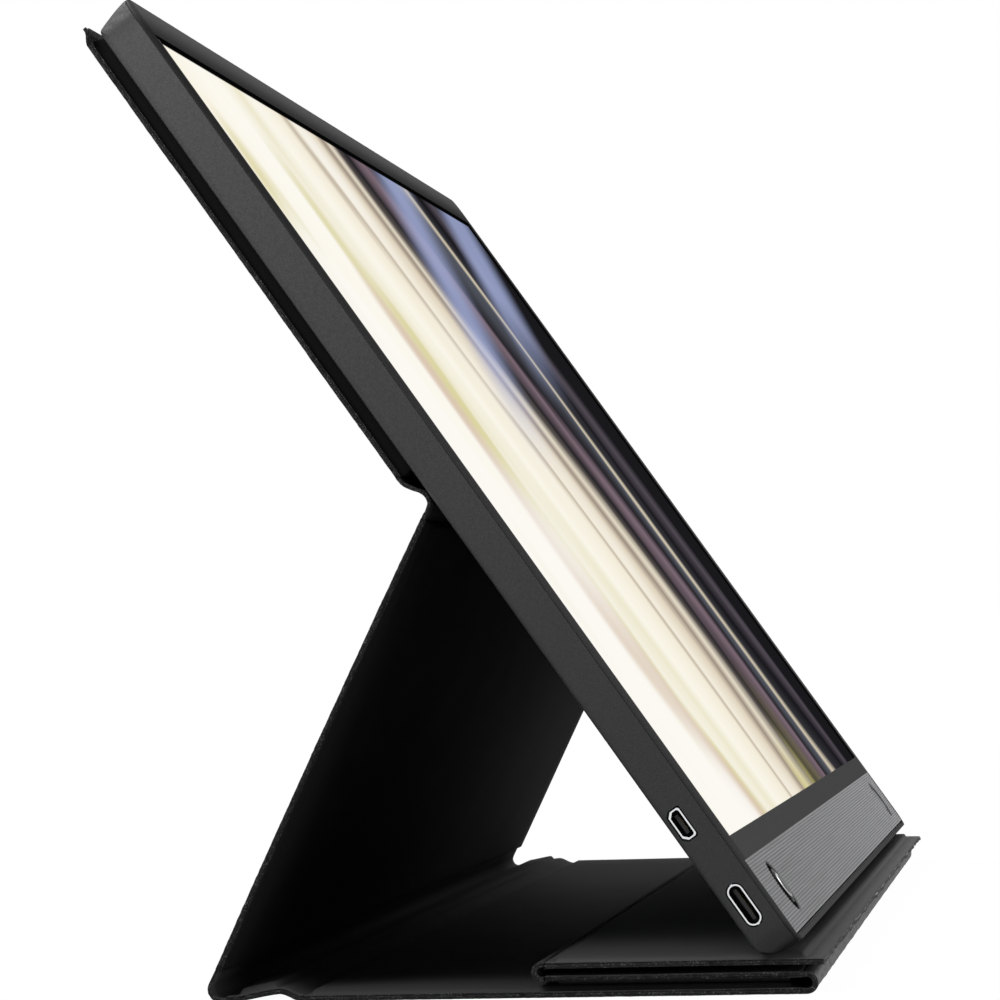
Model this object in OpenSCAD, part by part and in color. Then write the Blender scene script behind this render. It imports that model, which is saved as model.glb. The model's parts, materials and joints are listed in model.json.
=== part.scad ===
// Portable monitor that stands in its folded cover.
// The frame has +X to the viewer's right, -Y towards the viewer and +Z up.
// The origin is on the table, under the middle of the whole object.

/* [Display] */
// Width of the display's face beside the lit picture, at each side
side_margin = 7.75; // [6:0.05:14]
// Height of the display's face over the lit picture
top_margin = 11.2; // [9:0.1:16]
// Depth of the display at its edge
display_t = 8.3; // [7.9:0.1:10]
// Lean of the display, measured up from the table
tilt = 56; // [52:1:60]
// Radius of the four corners of the outline
corner_r = 5; // [3:0.5:8]
// Radius of the long edge at the back of the display's foot
foot_r = 5.8; // [4:0.1:6.5]
// How much lower the display's top edge lies at the back than at the front
top_slant = 3.2; // [0:0.1:4]
// Radius of the other edges at the back
edge_r = 1.4; // [0.8:0.1:2]
// Wall of the rear shell
shell_wall = 1.1; // [0.9:0.1:1.3]
// Thickness of the front bezel's face
bezel_t = 1.2; // [0.9:0.1:1.4]
// Thickness of the bezel's edge that shows beside the rear shell
bezel_edge = 0.45; // [0.3:0.05:0.6]
// Width of the groove between the bezel's edge and the rear shell
seam_w = 0.2; // [0.15:0.05:0.5]

/* [Screen] */
// Width of the lit picture
screen_w = 344.2; // [320:0.1:346]
// Height of the lit picture
screen_h = 193.6; // [180:0.1:195]
// Height of the picture's lower edge over the display's lip
screen_low = 24.2; // [23:0.1:26]
// Dark margin of the window at each side of the picture
window_side = 2.1; // [1:0.1:3]
// Dark margin of the window over the picture
window_top = 2.1; // [2:0.1:5]
// Width of the slanted edge around the window
window_bevel = 0.4; // [0.3:0.05:1.2]
// Thickness of the glass cell
cell_t = 1; // [0.8:0.1:1.1]
// Thickness of the stack of optical films
films_t = 0.35; // [0.25:0.05:0.4]
// Thickness of the light guide
guide_t = 0.7; // [0.5:0.1:0.8]
// Thickness of the reflector sheet
reflector_t = 0.15; // [0.1:0.05:0.2]
// Thickness of the panel tray's sheet
tray_t = 0.35; // [0.3:0.05:0.4]

/* [Chin] */
// Height of the ridged strip's upper edge over the display's lip
chin_top = 18.6; // [18:0.1:20]
// Height of the ridged strip's lower edge over the display's lip
chin_low = 1.5; // [1.3:0.1:2]
// Margin of the bezel at each end of the ridged strip
chin_side = 3; // [2.5:0.5:6]
// Thickness of the ridged strip
chin_t = 0.9; // [0.8:0.1:1]
// Number of ridges along the strip
ridges = 27; // [20:1:34]
// Depth of the grooves between the ridges
ridge_deep = 0.16; // [0.1:0.02:0.3]

/* [Controls] */
// Height of both controls over the display's lip
control_h = 10.1; // [9:0.1:11]
// Distance of the menu button's middle from the display's left edge
menu_in = 29.9; // [24:0.1:50]
// Distance of the power button's middle from the display's right edge
power_in = 19.9; // [17:0.1:40]
// Diameter of the dish around each button
dish_d = 12; // [10:0.5:13]
// Diameter of the dish's floor, at the back of the ridged strip
dish_floor_d = 10.6; // [8.5:0.1:11]
// Diameter of the menu button
menu_d = 8; // [6:0.5:8.5]
// Diameter of the power button
power_d = 10; // [8:0.5:10]
// Travel of both buttons
button_travel = 0.3; // [0.2:0.05:0.4]
// Distance from the power button to the status light
light_ahead = 9; // [8:0.5:11]
// Diameter of the status light's pipe
light_d = 1; // [0.8:0.1:1.4]

/* [Ports] */
// Height of the USB-C port over the display's lip
usb_h = 11.7; // [11:0.1:14]
// Depth of the USB-C port behind the display's face
usb_deep = 4.75; // [4.5:0.05:5]
// Length of the USB-C port's shell across its mouth
usb_w = 8.94; // [8.9:0.02:9]
// Thickness of the USB-C port's shell across its mouth
usb_t = 3.16; // [3.1:0.02:3.3]
// Height of the micro-HDMI port over the display's lip
hdmi_h = 31.1; // [27:0.1:40]
// Depth of the micro-HDMI port behind the display's face
hdmi_deep = 5.6; // [5.5:0.05:5.7]
// Length of the micro-HDMI port's shell across its mouth
hdmi_w = 6.4; // [6.2:0.05:6.6]
// Thickness of the micro-HDMI port's shell across its mouth
hdmi_t = 2.8; // [2.6:0.05:2.9]
// Length of both ports' shells into the display
port_len = 7.3; // [6:0.1:9]
// Gap between the rear shell and a port's shell
port_gap = 0.3; // [0.2:0.05:0.4]

/* [Cover] */
// How far each side of the cover lies in from the display's side
cover_in = 1.85; // [-2:0.05:8]
// Thickness of the outer skin
skin_t = 1; // [0.8:0.1:1.2]
// Thickness of the thin stiffening boards
board_t = 0.7; // [0.6:0.1:1]
// Thickness of the lining
lining_t = 0.3; // [0.2:0.05:0.4]
// Thickness of the board behind the display, which holds the magnets
back_board_t = 2.4; // [2.2:0.1:3]
// Width of the thin rim around each board
rim_w = 3.2; // [2.5:0.1:4]
// How far the back panel's thin edge reaches past the display's top
back_over = -0.2; // [-1:0.1:4]
// Depth of the stand, from the display's lip back to the foot's line
stand_depth = 114.6; // [95:0.1:125]
// Width of the spine between the strut and the base
spine_w = 13.5; // [12:0.5:16]
// Length of the flap and of the ledge, from fold to fold
flap_len = 49.8; // [44:0.1:54]
// How far the thin edge of the ledge reaches past the front fold
ledge_lip = 4.4; // [2.5:0.1:6]
// How far the front fold lies ahead of the display's lip
fold_ahead = -0.2; // [-1:0.1:3]
// Height of the back fold along the display
back_fold_h = 110; // [106:0.5:114]
// Distance from the back fold's line up to the back panel's board
board_gap = 8.5; // [8:0.1:10]
// Depth of the back fold's line behind the display
back_fold_deep = 1.8; // [1.7:0.05:1.9]
// Gap between two linings that lie on each other
lining_gap = 0.25; // [0.2:0.05:0.4]
// Gap between two skins that lie on each other
skin_gap = 1.35; // [1:0.05:1.6]
// Gap between the display's foot and the ledge
rest_gap = 0.3; // [0.25:0.05:0.4]
// Height that the spine arches off the table
spine_arch = 1.5; // [1:0.1:2]

/* [Magnets] */
// Length of a bar magnet
magnet_l = 30; // [20:1:40]
// Width of a bar magnet
magnet_w = 8; // [6:0.5:10]
// Thickness of a bar magnet behind the display
magnet_t = 1.6; // [1.2:0.1:1.8]
// Distance of the back magnets' rows from the ends of the board
magnet_row = 20; // [14:1:30]
// Distance between neighbouring magnets of a row
magnet_step = 96; // [60:1:100]

/* [Hidden] */
$fn = 64;

// Clearances and small sizes
touch = 0.02;      // gap between pieces that are laid on each other
fit = 0.15;        // gap around a piece in its pocket
run = 0.2;         // gap around a moving button
play = 0.1;        // gap between a button and its switch at rest
stub = 0.5;        // straight end of a soft fold
flex_t = 0.1;      // thin printed flexes
skirt = 0.3;       // how far a port's shell stays back in the wall
past = 1;          // how far a cut runs past a face
sheet_t = 0.3;     // sheet metal of the ports and the shield
pcb_t = 0.8;       // circuit boards
dome_h = 0.5;      // swell of the menu button's top
hollow_h = 0.35;   // dip of the power button's top

// Outline of the display and the cover, and places along the display's foot
display_w = screen_w + 2 * side_margin;
display_h = screen_low + screen_h + top_margin;
cover_w = display_w - 2 * cover_in;
menu_x = display_w / 2 - menu_in;
power_x = display_w / 2 - power_in;
light_x = power_x + light_ahead;
light_h = control_h - 5.8;

// Heights of the folded base, from the table up
panel_t = skin_t + board_t + lining_t;
rim_t = skin_t + lining_t;
back_t = skin_t + back_board_t + lining_t;
flap_top = 2 * panel_t + lining_gap;
front_fold_z = flap_top / 2;
ledge_low = flap_top + skin_gap;
ledge_top = ledge_low + panel_t;
rear_fold_z = flap_top + skin_gap / 2;

// The display's lip, which stands over the table by what the foot's round needs
sin_t = sin(tilt);
cos_t = cos(tilt);
lip_z = ledge_top + rest_gap + display_t * cos_t - foot_r * (sin_t + cos_t - 1);
reach_back = display_t + touch + back_t;
back_board_low = back_fold_h + board_gap;
back_board_high = display_h + back_over - rim_w;
back_len = back_board_high - back_board_low;
rear_tip = (display_h + back_over) * cos_t + reach_back * sin_t;
front_tip = fold_ahead + ledge_lip;
lip_y = (front_tip - rear_tip) / 2;

// A point at height h along the display and depth d behind its face
function on_display(h, d) = [lip_y + h * cos_t + d * sin_t, lip_z + h * sin_t - d * cos_t];

// The folds' lines, as [y, z]
back_line = on_display(back_fold_h, display_t + back_fold_deep);
foot_z = 2.6;
foot_y = lip_y + stand_depth;
foot_line = [foot_y, foot_z];
strut_len = norm(back_line - foot_line);
front_line = [lip_y - fold_ahead, front_fold_z];
rear_line = [front_line[0] + flap_len, rear_fold_z];
base_rear = foot_y - spine_w;

// The strut's own frame starts at the foot's line and runs up to the back fold
strut_skin_low = foot_z;
strut_skin_high = 0.4;
strut_turn = atan2(back_line[1] - foot_z, back_line[0] - foot_y)
  + asin((strut_skin_low - strut_skin_high) / strut_len);
strut_start = 3.2;
strut_short = 2.6;
strut_end = strut_len - strut_short;
fold_rise = 0.9;
function on_strut(a, b) = [
  foot_y + a * cos(strut_turn) - b * sin(strut_turn),
  foot_z + a * sin(strut_turn) + b * cos(strut_turn)
];

// Depths of the panel's layers behind the display's face
cell_front = bezel_t + 0.1;
films_front = cell_front + cell_t + touch;
guide_front = films_front + films_t + touch;
reflector_front = guide_front + guide_t + touch;
tray_front = reflector_front + reflector_t + touch;
tray_back = tray_front + tray_t;
shell_inside = display_t - shell_wall;
board_front = usb_deep + usb_t / 2 + touch;
board_back = board_front + pcb_t;

// Widths and heights of the panel
window_w = screen_w + 2 * window_side;
window_low = screen_low - 0.1;
window_high = screen_low + screen_h + window_top;
cell_w = window_w + 1.6;
cell_low = chin_top - 1;
cell_high = window_high + 0.6;
tray_w = cell_w + 2 * tray_t + 2 * fit;
guide_low = cell_low + 2.2;

// ---- shared shapes ----

// A flat outline with round corners, centred on x and starting at y = 0
module round_rect(w, l, r) {
  translate([-w / 2 + r, 0]) square([w - 2 * r, l]);
  translate([-w / 2, r]) square([w, l - 2 * r]);
  for (x = [-w / 2 + r, w / 2 - r], y = [r, l - r]) translate([x, y]) circle(r);
}

// What is cut off a square corner at the origin to round it, for a corner that points to -x, -y
module corner_cut(r) {
  difference() {
    translate([-past, -past]) square(r + past);
    translate([r, r]) circle(r);
  }
}

// A shape drawn in the plane of y and z, drawn out along x
module along_x(w) rotate([90, 0, 90]) linear_extrude(w, center = true) children();

// Puts a piece in the display's frame: x, height along the face, z = 0 on the face
module in_display() translate([0, lip_y, lip_z]) rotate([tilt, 0, 0]) children();

// Puts a piece in the strut's frame
module in_strut() translate([0, foot_y, foot_z]) rotate([strut_turn, 0, 0]) children();

// A plate between two depths behind the display's face
module plate(w, low, high, front, back) {
  translate([-w / 2, low, -back]) cube([w, high - low, back - front]);
}

// A strip of even thickness t along points in the plane of y and z
function unit(v) = v / norm(v);
function side(v) = [-v[1], v[0]];
function along(p, i) =
  i == 0 ? unit(p[1] - p[0])
  : i == len(p) - 1 ? unit(p[i] - p[i - 1])
  : unit(unit(p[i + 1] - p[i]) + unit(p[i] - p[i - 1]));
module strip(points, t, w) {
  left = [for (i = [0:len(points) - 1]) points[i] + side(along(points, i)) * t / 2];
  right = [for (i = [len(points) - 1:-1:0]) points[i] - side(along(points, i)) * t / 2];
  along_x(w) polygon(concat(left, right));
}

// The points of an arc about c, from angle a to angle b
function arc(c, r, a, b, n = 12) =
  [for (i = [0:n]) c + r * [cos(a + (b - a) * i / n), sin(a + (b - a) * i / n)]];

// The skin of a panel that is l long, with its outer face at z = 0
module panel_skin(l, r0, r1) {
  linear_extrude(skin_t) {
    translate([-cover_w / 2, r0 ? rim_w : 0]) square([cover_w, l - (r0 ? rim_w : 0) - (r1 ? rim_w : 0)]);
    if (r0) panel_end(0);
    if (r1) translate([0, l]) mirror([0, 1]) panel_end(0);
  }
}
// The round-cornered end of a panel
module panel_end(y) {
  translate([-cover_w / 2 + rim_w, y]) square([cover_w - 2 * rim_w, rim_w]);
  for (x = [-1, 1]) translate([x * (cover_w / 2 - rim_w), y + rim_w])
    intersection() {
      circle(rim_w);
      translate([x > 0 ? 0 : -rim_w, -rim_w]) square(rim_w);
    }
}
// The board of a panel, between y = a and y = b, over the skin
module panel_board(a, b, t) {
  translate([0, a, skin_t + touch]) linear_extrude(t - 2 * touch)
    round_rect(cover_w - 2 * rim_w, b - a, 1);
}
// The lining of a panel: a thin sheet on the rims that rises over the board
module panel_lining(l, a, b, t) {
  translate([0, 0, skin_t]) difference() {
    union() {
      translate([-cover_w / 2 + fit, 0, 0]) cube([cover_w - 2 * fit, l, lining_t]);
      translate([0, a - lining_t, 0]) linear_extrude(t + lining_t)
        round_rect(cover_w - 2 * rim_w + 2 * lining_t, b - a + 2 * lining_t, 1 + lining_t);
    }
    translate([0, a - touch, -past]) linear_extrude(t + past)
      round_rect(cover_w - 2 * rim_w + 2 * touch, b - a + 2 * touch, 1 + touch);
  }
}

// ---- the display ----

// What is cut off the corner between the display's back and its slanted top edge
module slant_cut(r) {
  slant = atan2(top_slant, display_t);
  middle = [-r / tan(45 + slant / 2), r];
  difference() {
    polygon([middle, [middle[0], -past], [past, -past], middle + (r + past) * [cos(slant), -sin(slant)]]);
    translate(middle) circle(r);
  }
}

// The display's outer form, taken in by an even distance
module display_form(inset) {
  t = display_t - inset;
  intersection() {
    translate([0, inset, -t]) linear_extrude(t)
      round_rect(display_w - 2 * inset, display_h - 2 * inset, corner_r - min(inset, corner_r - 1));
    along_x(display_w) difference() {
      top = display_h - inset;
      low_top = top - top_slant * t / display_t;
      polygon([[inset, -t], [low_top, -t], [top, 0], [inset, 0]]);
      translate([inset, -t]) corner_cut(max(foot_r - inset, 0.5));
      translate([low_top, -t]) slant_cut(max(edge_r - inset, 0.3));
    }
    rotate([90, 0, 0]) translate([0, 0, -display_h]) linear_extrude(display_h) difference() {
      translate([-display_w / 2 + inset, -t]) square([display_w - 2 * inset, t]);
      for (m = [0, 1]) mirror([m, 0]) translate([-display_w / 2 + inset, -t])
        corner_cut(max(edge_r - inset, 0.3));
    }
  }
}

// The mouth of the USB-C port, grown by an even distance
module usb_mouth(grow) {
  w = usb_w + 2 * grow;
  t = usb_t + 2 * grow;
  square([w - t, t], center = true);
  for (s = [-1, 1]) translate([s * (w - t) / 2, 0]) circle(d = t);
}
// The mouth of the micro-HDMI port, with its two wide bevels towards the back
module hdmi_mouth(grow) {
  w = hdmi_w / 2 + grow;
  t = hdmi_t / 2 + grow;
  wide = 0.9;
  small = 0.35;
  polygon([
    [-w + wide, -t], [w - wide, -t], [w, -t + wide], [w, t - small],
    [w - small, t], [-w + small, t], [-w, t - small], [-w, -t + wide]
  ]);
}
// Sets a port's mouth on the left side: x outwards, the mouth's long way up the display
module at_port(h, deep, from, length) {
  translate([-display_w / 2 + from, h, -deep]) rotate([90, 0, 90]) linear_extrude(length) children();
}

// Screws between shell and bezel: their places, their height, and their sizes
screw_in = 55;
screw_xs = [-1, -1 / 3, 1 / 3, 1] * (display_w / 2 - screw_in);
screw_clear = 0.1;
head_in = 0.4;
head_t = 0.6;
// The posts that carry the button board, and the height of its bridge's middle
post_in = 14;
post_xs = [-menu_x + post_in, -menu_x / 2, power_x / 2, power_x - post_in];
post_d = 2.6;
bridge_h = control_h + 2.5;
screw_h = 6.4;
screw_d = 1.6;
boss_d = 3.6;

module rear_shell() color("#3d3d3e") in_display() {
  difference() {
    display_form(0);
    difference() {
      display_form(shell_wall);
      for (x = screw_xs) translate([x, screw_h, -display_t])
        cylinder(d = boss_d, h = shell_wall + head_in + head_t);
    }
    translate([-display_w, -past, -bezel_edge - seam_w])
      cube([2 * display_w, display_h + 2 * past, display_t]);
    at_port(usb_h, usb_deep, -past, shell_wall + 2 * past) usb_mouth(port_gap);
    at_port(hdmi_h, hdmi_deep, -past, shell_wall + 2 * past) hdmi_mouth(port_gap);
    for (x = screw_xs) translate([x, screw_h, -display_t - past]) {
      cylinder(d = screw_d + 2 * fit, h = display_t);
      cylinder(d = boss_d - 2 * sheet_t, h = past + head_in + head_t);
    }
  }
}

// The front of the display's form, down to a depth
module display_front(inset, depth) intersection() {
  display_form(inset);
  translate([-display_w, -past, -depth]) cube([2 * display_w, display_h + 2 * past, depth]);
}

module front_bezel() color("#4a4a4b") in_display() {
  boss_l = shell_inside - head_in - head_t;
  difference() {
    union() {
      display_front(0, bezel_edge);
      display_front(shell_wall + fit, bezel_t);
      for (x = screw_xs) translate([x, screw_h, -boss_l + touch]) cylinder(d = boss_d, h = boss_l - bezel_t);
      for (x = post_xs) translate([x, bridge_h, -key_front + touch])
        cylinder(d = post_d, h = key_front - bezel_t);
    }
    window();
    translate([-display_w / 2 + chin_side, chin_low - chin_slot, -chin_t - touch])
      cube([display_w - 2 * chin_side, chin_top - chin_low + chin_slot, chin_t + past]);
    for (x = screw_xs) translate([x, screw_h, -display_t]) cylinder(d = screw_d, h = screw_deep);
    translate([-menu_x, control_h, -display_t]) cylinder(d = dish_floor_d, h = display_t);
    translate([power_x, control_h, -display_t]) cylinder(d = dish_floor_d + run, h = display_t);
    translate([light_x, light_h, -display_t]) cylinder(d = light_d + fit, h = display_t);
  }
}
// Depth of the screw's hole from the back, and the dark slot under the ridged strip
screw_deep = display_t - bezel_t - 0.5;
chin_slot = 0.5;

// The window's opening, with its slanted edge
module window() {
  low = [-window_w / 2, window_low];
  high = [window_w / 2, window_high];
  translate([low[0], low[1], -bezel_t - past]) cube([window_w, window_high - window_low, bezel_t + 2 * past]);
  foot = -bezel_t + 0.2;
  bevel = [[0, foot], [-window_bevel, 0], [-window_bevel, past], [window_bevel, past], [window_bevel, foot]];
  for (m = [0, 1]) mirror([m, 0, 0]) translate([low[0], window_high + window_bevel, 0])
    rotate([90, 0, 0]) linear_extrude(window_high - window_low + window_bevel) polygon(bevel);
  translate([0, window_high, 0]) along_x(window_w + 2 * window_bevel)
    polygon([for (p = bevel) [-p[0], p[1]]]);
}

module chin_strip() color("#8d8d8e") in_display() {
  l = chin_top - chin_low;
  pitch = l / ridges;
  profile = concat(
    [[0, -chin_t]],
    [for (i = [0:ridges - 1], p = [[0, -ridge_deep], [0.25, 0], [0.75, 0], [1, -ridge_deep]])
      [(i + p[0]) * pitch, p[1]]],
    [[l, -chin_t]]
  );
  difference() {
    intersection() {
      translate([0, chin_low, 0]) along_x(display_w - 2 * chin_side - 2 * touch) polygon(profile);
      display_front(shell_wall + fit, 2 * chin_t);
    }
    translate([-menu_x, control_h, 0]) dish(dish_floor_d);
    translate([power_x, control_h, 0]) dish(dish_floor_d + run);
    translate([light_x, light_h, -chin_t - past]) cylinder(d = light_d + fit, h = chin_t + 2 * past);
  }
}
// The round dish around a button, wider at the front
module dish(floor_d) {
  translate([0, 0, -chin_t]) cylinder(d1 = floor_d, d2 = dish_d, h = chin_t + touch);
  translate([0, 0, -chin_t - past]) cylinder(d = floor_d, h = past + touch);
  cylinder(d = dish_d, h = past);
}

module lcd_cell() color("#0c0c0e") in_display()
  plate(cell_w, cell_low, cell_high, cell_front, cell_front + cell_t);

module optical_films() color("#f2f2ee") in_display()
  plate(cell_w - 1, guide_low, cell_high - 0.5, films_front, films_front + films_t);

module light_guide() color("#dfe9ea") in_display()
  plate(cell_w - 2, guide_low, cell_high - 1, guide_front, guide_front + guide_t);

module reflector_sheet() color("#fafafa") in_display()
  plate(cell_w - 1, cell_low + 0.2, cell_high - 0.5, reflector_front, reflector_front + reflector_t);

// A flexible strip with a row of white lamps, along the light guide's lower edge
lamps = 48;
lamp_w = 3;
strip_t = 0.3;
module led_bar() color("#f4e9b0") in_display() {
  w = cell_w - 2 * lamp_w;
  top = cell_low + strip_t + 2 * fit;
  plate(w, cell_low + strip_t, top, guide_front - fit, guide_front + guide_t);
  for (i = [0:lamps - 1]) translate([-w / 2 + (i + 0.5) * w / lamps, 0, 0])
    plate(lamp_w, top, guide_low - flex_t, guide_front + flex_t, guide_front + guide_t - flex_t);
}

module panel_tray() color("#b9bcc0") in_display() {
  difference() {
    plate(tray_w, cell_low - fit, cell_high + fit + tray_t, cell_front, tray_back);
    plate(tray_w - 2 * tray_t, cell_low - past, cell_high + fit, cell_front - past, tray_front);
  }
}

// The board that drives the pixels, behind the tray's lower edge
driver_in = 65;
driver_w = cell_w - 2 * driver_in;
driver_l = 9;
driver_t = 0.6;
driver_low = cell_low + 1.4;
driver_front = tray_back + flex_t;
chip_t = 0.7;
chip_w = 9;
// The thin tabs that carry the pixels' signals round the glass cell's lower edge
tabs = 6;
tab_w = 22;
module driver_flex() color("#b8742c") in_display() {
  step = (driver_w - tab_w) / (tabs - 1);
  low = cell_low - 6 * flex_t;
  for (i = [0:tabs - 1]) translate([(tab_w - driver_w) / 2 + i * step, 0, 0]) {
    plate(tab_w, low, low + 2 * flex_t, cell_front + 2 * flex_t, driver_front + 3 * flex_t);
    plate(tab_w, low, cell_low - touch, cell_front + 2 * flex_t, cell_front + 3 * flex_t);
    plate(tab_w, low, driver_low - touch, driver_front + 2 * flex_t, driver_front + 3 * flex_t);
  }
}

module driver_board() color("#1f6b3c") in_display() {
  back = driver_front + driver_t;
  plate(driver_w, driver_low, driver_low + driver_l, driver_front, back);
  for (i = [-1:1]) translate([i * driver_w / 4, 0, 0])
    plate(chip_w, driver_low + 2, driver_low + driver_l - 2, back, back + chip_t);
}

// The main board carries both ports at its left end
main_w = 116;
main_left = -display_w / 2 + shell_wall + 0.8;
main_low = foot_r - 0.4;
main_over = 11.7;
main_high = hdmi_h + hdmi_w / 2 + main_over;
module main_board() color("#17512f") in_display() {
  difference() {
    translate([main_left, main_low, -board_back]) cube([main_w, main_high - main_low, pcb_t]);
    at_port(hdmi_h, hdmi_deep, -past, port_len + 2 * past) hdmi_mouth(fit);
    for (x = screw_xs) translate([x, screw_h, -display_t]) cylinder(d = boss_d + 1, h = display_t);
  }
  // chips: place along the board and up it, width and height
  chips = [[28, 21, 12, 12], [50, 23, 7, 7], [66, 13, 9, 6], [82, 17, 8, 8]];
  for (c = chips) translate([main_left + c[0], main_low + c[1], -board_front]) cube([c[2], c[3], chip_t]);
}

// A sheet-metal lid over the two chips next to the ports
shield_in = 24;
shield_w = 36;
shield_l = 20;
shield_t = chip_t + 2 * sheet_t;
module board_shield() color("#c9ccd0") in_display()
  translate([main_left + shield_in, main_high - shield_l - 2, -board_front]) difference() {
    cube([shield_w, shield_l, shield_t]);
    translate([sheet_t, sheet_t, -past])
      cube([shield_w - 2 * sheet_t, shield_l - 2 * sheet_t, past + shield_t - sheet_t]);
  }

// A flat cable from the main board up to the driver board
cable_w = 14;
cable_t = 0.35;
module display_cable() color("#2b2b2e") in_display() {
  front = driver_front + driver_t + touch;
  low = driver_low + driver_l - 1.5;
  high = main_high - cable_w / 2;
  translate([main_left + main_w - 1.6 * cable_w, 0, 0]) {
    translate([0, low, -front - cable_t]) cube([cable_w, high - low, cable_t]);
    translate([0, high - cable_t, -board_front + touch])
      cube([cable_w, cable_t, board_front - front - touch]);
  }
}

module usb_c_shell() color("#c7c9cc") in_display()
  at_port(usb_h, usb_deep, skirt, port_len) difference() {
    usb_mouth(0);
    usb_mouth(-sheet_t);
  }
module hdmi_shell() color("#c7c9cc") in_display()
  at_port(hdmi_h, hdmi_deep, skirt, port_len) difference() {
    hdmi_mouth(0);
    hdmi_mouth(-sheet_t);
  }
// The moulded block at the back of each port, and the tongue that stands out of it
block_l = 1.2;
tongue_in = 1.3;
tongue_t = 0.7;
module usb_c_tongue() color("#161616") in_display() {
  at_port(usb_h, usb_deep, skirt + port_len - block_l, block_l - touch) usb_mouth(-sheet_t - touch);
  at_port(usb_h, usb_deep, tongue_in, port_len - tongue_in)
    square([usb_w - 0.7 * usb_t, tongue_t], center = true);
}
module hdmi_tongue() color("#161616") in_display() {
  at_port(hdmi_h, hdmi_deep, skirt + port_len - block_l, block_l - touch) hdmi_mouth(-sheet_t - touch);
  at_port(hdmi_h, hdmi_deep, tongue_in, port_len - tongue_in)
    square([hdmi_w * 0.65, tongue_t], center = true);
}

// The small board behind each end of the chin, joined by a narrow bridge
key_front = 4;
key_t = 0.6;
key_w = 12;
key_l = 10.4;
key_low = light_h - 1;
bridge_w = 3;
module button_board() color("#1f6b3c") in_display() translate([0, 0, -key_front - key_t]) {
  translate([-menu_x - key_w / 2, key_low]) cube([key_w, key_l, key_t]);
  translate([power_x - key_w / 2, key_low]) cube([light_ahead + key_w - 4 * light_d, key_l, key_t]);
  translate([-menu_x, bridge_h - bridge_w / 2]) cube([menu_x + power_x, bridge_w, key_t]);
}
// A small push switch
switch_w = 4;
switch_case = 0.7;
switch_h = 1.2;
plunger_d = 1.8;
module tact_switch(x) translate([x, control_h, -key_front]) {
  translate([-switch_w / 2, -switch_w / 2, touch]) cube([switch_w, switch_w, switch_case]);
  translate([0, 0, switch_case]) cylinder(d = plunger_d, h = switch_h - switch_case);
}
module menu_switch() color("#d0d0cc") in_display() tact_switch(-menu_x);
module power_switch() color("#d0d0cc") in_display() tact_switch(power_x);

// A button's collar behind the bezel, and its stem, which reaches the switch
cap_back = bezel_t + run;
cap_in = 0.1;
collar_t = 0.4;
stem_d = 2.4;
module button_tail() {
  stem_end = key_front - switch_h - button_travel - play;
  translate([0, 0, -cap_back - collar_t]) cylinder(d = dish_floor_d + 1, h = collar_t);
  translate([0, 0, -stem_end]) cylinder(d = stem_d, h = stem_end - cap_back);
}
// The radius of a ball that swells or dips by h over a disc of diameter d
function ball(d, h) = (pow(d / 2, 2) + pow(h, 2)) / (2 * h);
// A shallow dome
module menu_button() color("#b6b8ba") in_display() translate([-menu_x, control_h, 0]) {
  button_tail();
  rotate_extrude() intersection() {
    translate([0, -cap_back]) square([menu_d / 2, cap_back + dome_h]);
    translate([0, dome_h - cap_in - ball(menu_d, dome_h)]) circle(ball(menu_d, dome_h), $fn = 256);
  }
}
// A shallow dish
module power_button() color("#a5a7a9") in_display() translate([power_x, control_h, 0]) {
  button_tail();
  rotate_extrude() difference() {
    translate([0, -cap_back]) square([power_d / 2, cap_back - cap_in]);
    translate([0, ball(power_d, hollow_h) - hollow_h - cap_in]) circle(ball(power_d, hollow_h), $fn = 256);
  }
}

module light_pipe() color("#e8ecee") in_display() translate([light_x, light_h, -key_front + touch]) {
  cylinder(d = light_d, h = key_front - fit);
  cylinder(d = 2 * light_d, h = key_front - bezel_t - fit);
}

module shell_screws() color("#55585c") in_display() {
  hex_w = 1.1;
  for (x = screw_xs) translate([x, screw_h, -display_t + head_in]) {
    difference() {
      cylinder(d = boss_d - 2 * sheet_t - 2 * fit, h = head_t - touch);
      translate([0, 0, -past]) cylinder(d = hex_w, h = past + head_t / 2, $fn = 6);
    }
    cylinder(d = screw_d - screw_clear, h = screw_deep - head_in - head_t);
  }
}

// ---- the magnets ----

magnet_cols = [-1.5, -0.5, 0.5, 1.5] * magnet_step;
magnet_rows = [back_board_low + magnet_row, back_board_high - magnet_row];

// Steel plates glued inside the rear shell, which the magnets hold, and how far they reach past them
plate_t = 0.45;
plate_over = 4;
plate_up = 3;
module magnet_plates() color("#9a9da1") in_display()
  for (h = magnet_rows, x = magnet_cols) translate([x, 0, 0])
    plate(magnet_l + 2 * plate_over, h - magnet_w / 2 - plate_up, h + magnet_w / 2 + plate_up,
      shell_inside - plate_t, shell_inside - touch);

// ---- the cover ----

// How far the back panel's lining ends before the skin's edge
lining_in = 0.4;

// The back panel's frame: y from its lower end, z = 0 on its outer face
module in_back() in_display() translate([0, back_board_low, -reach_back]) children();

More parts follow.
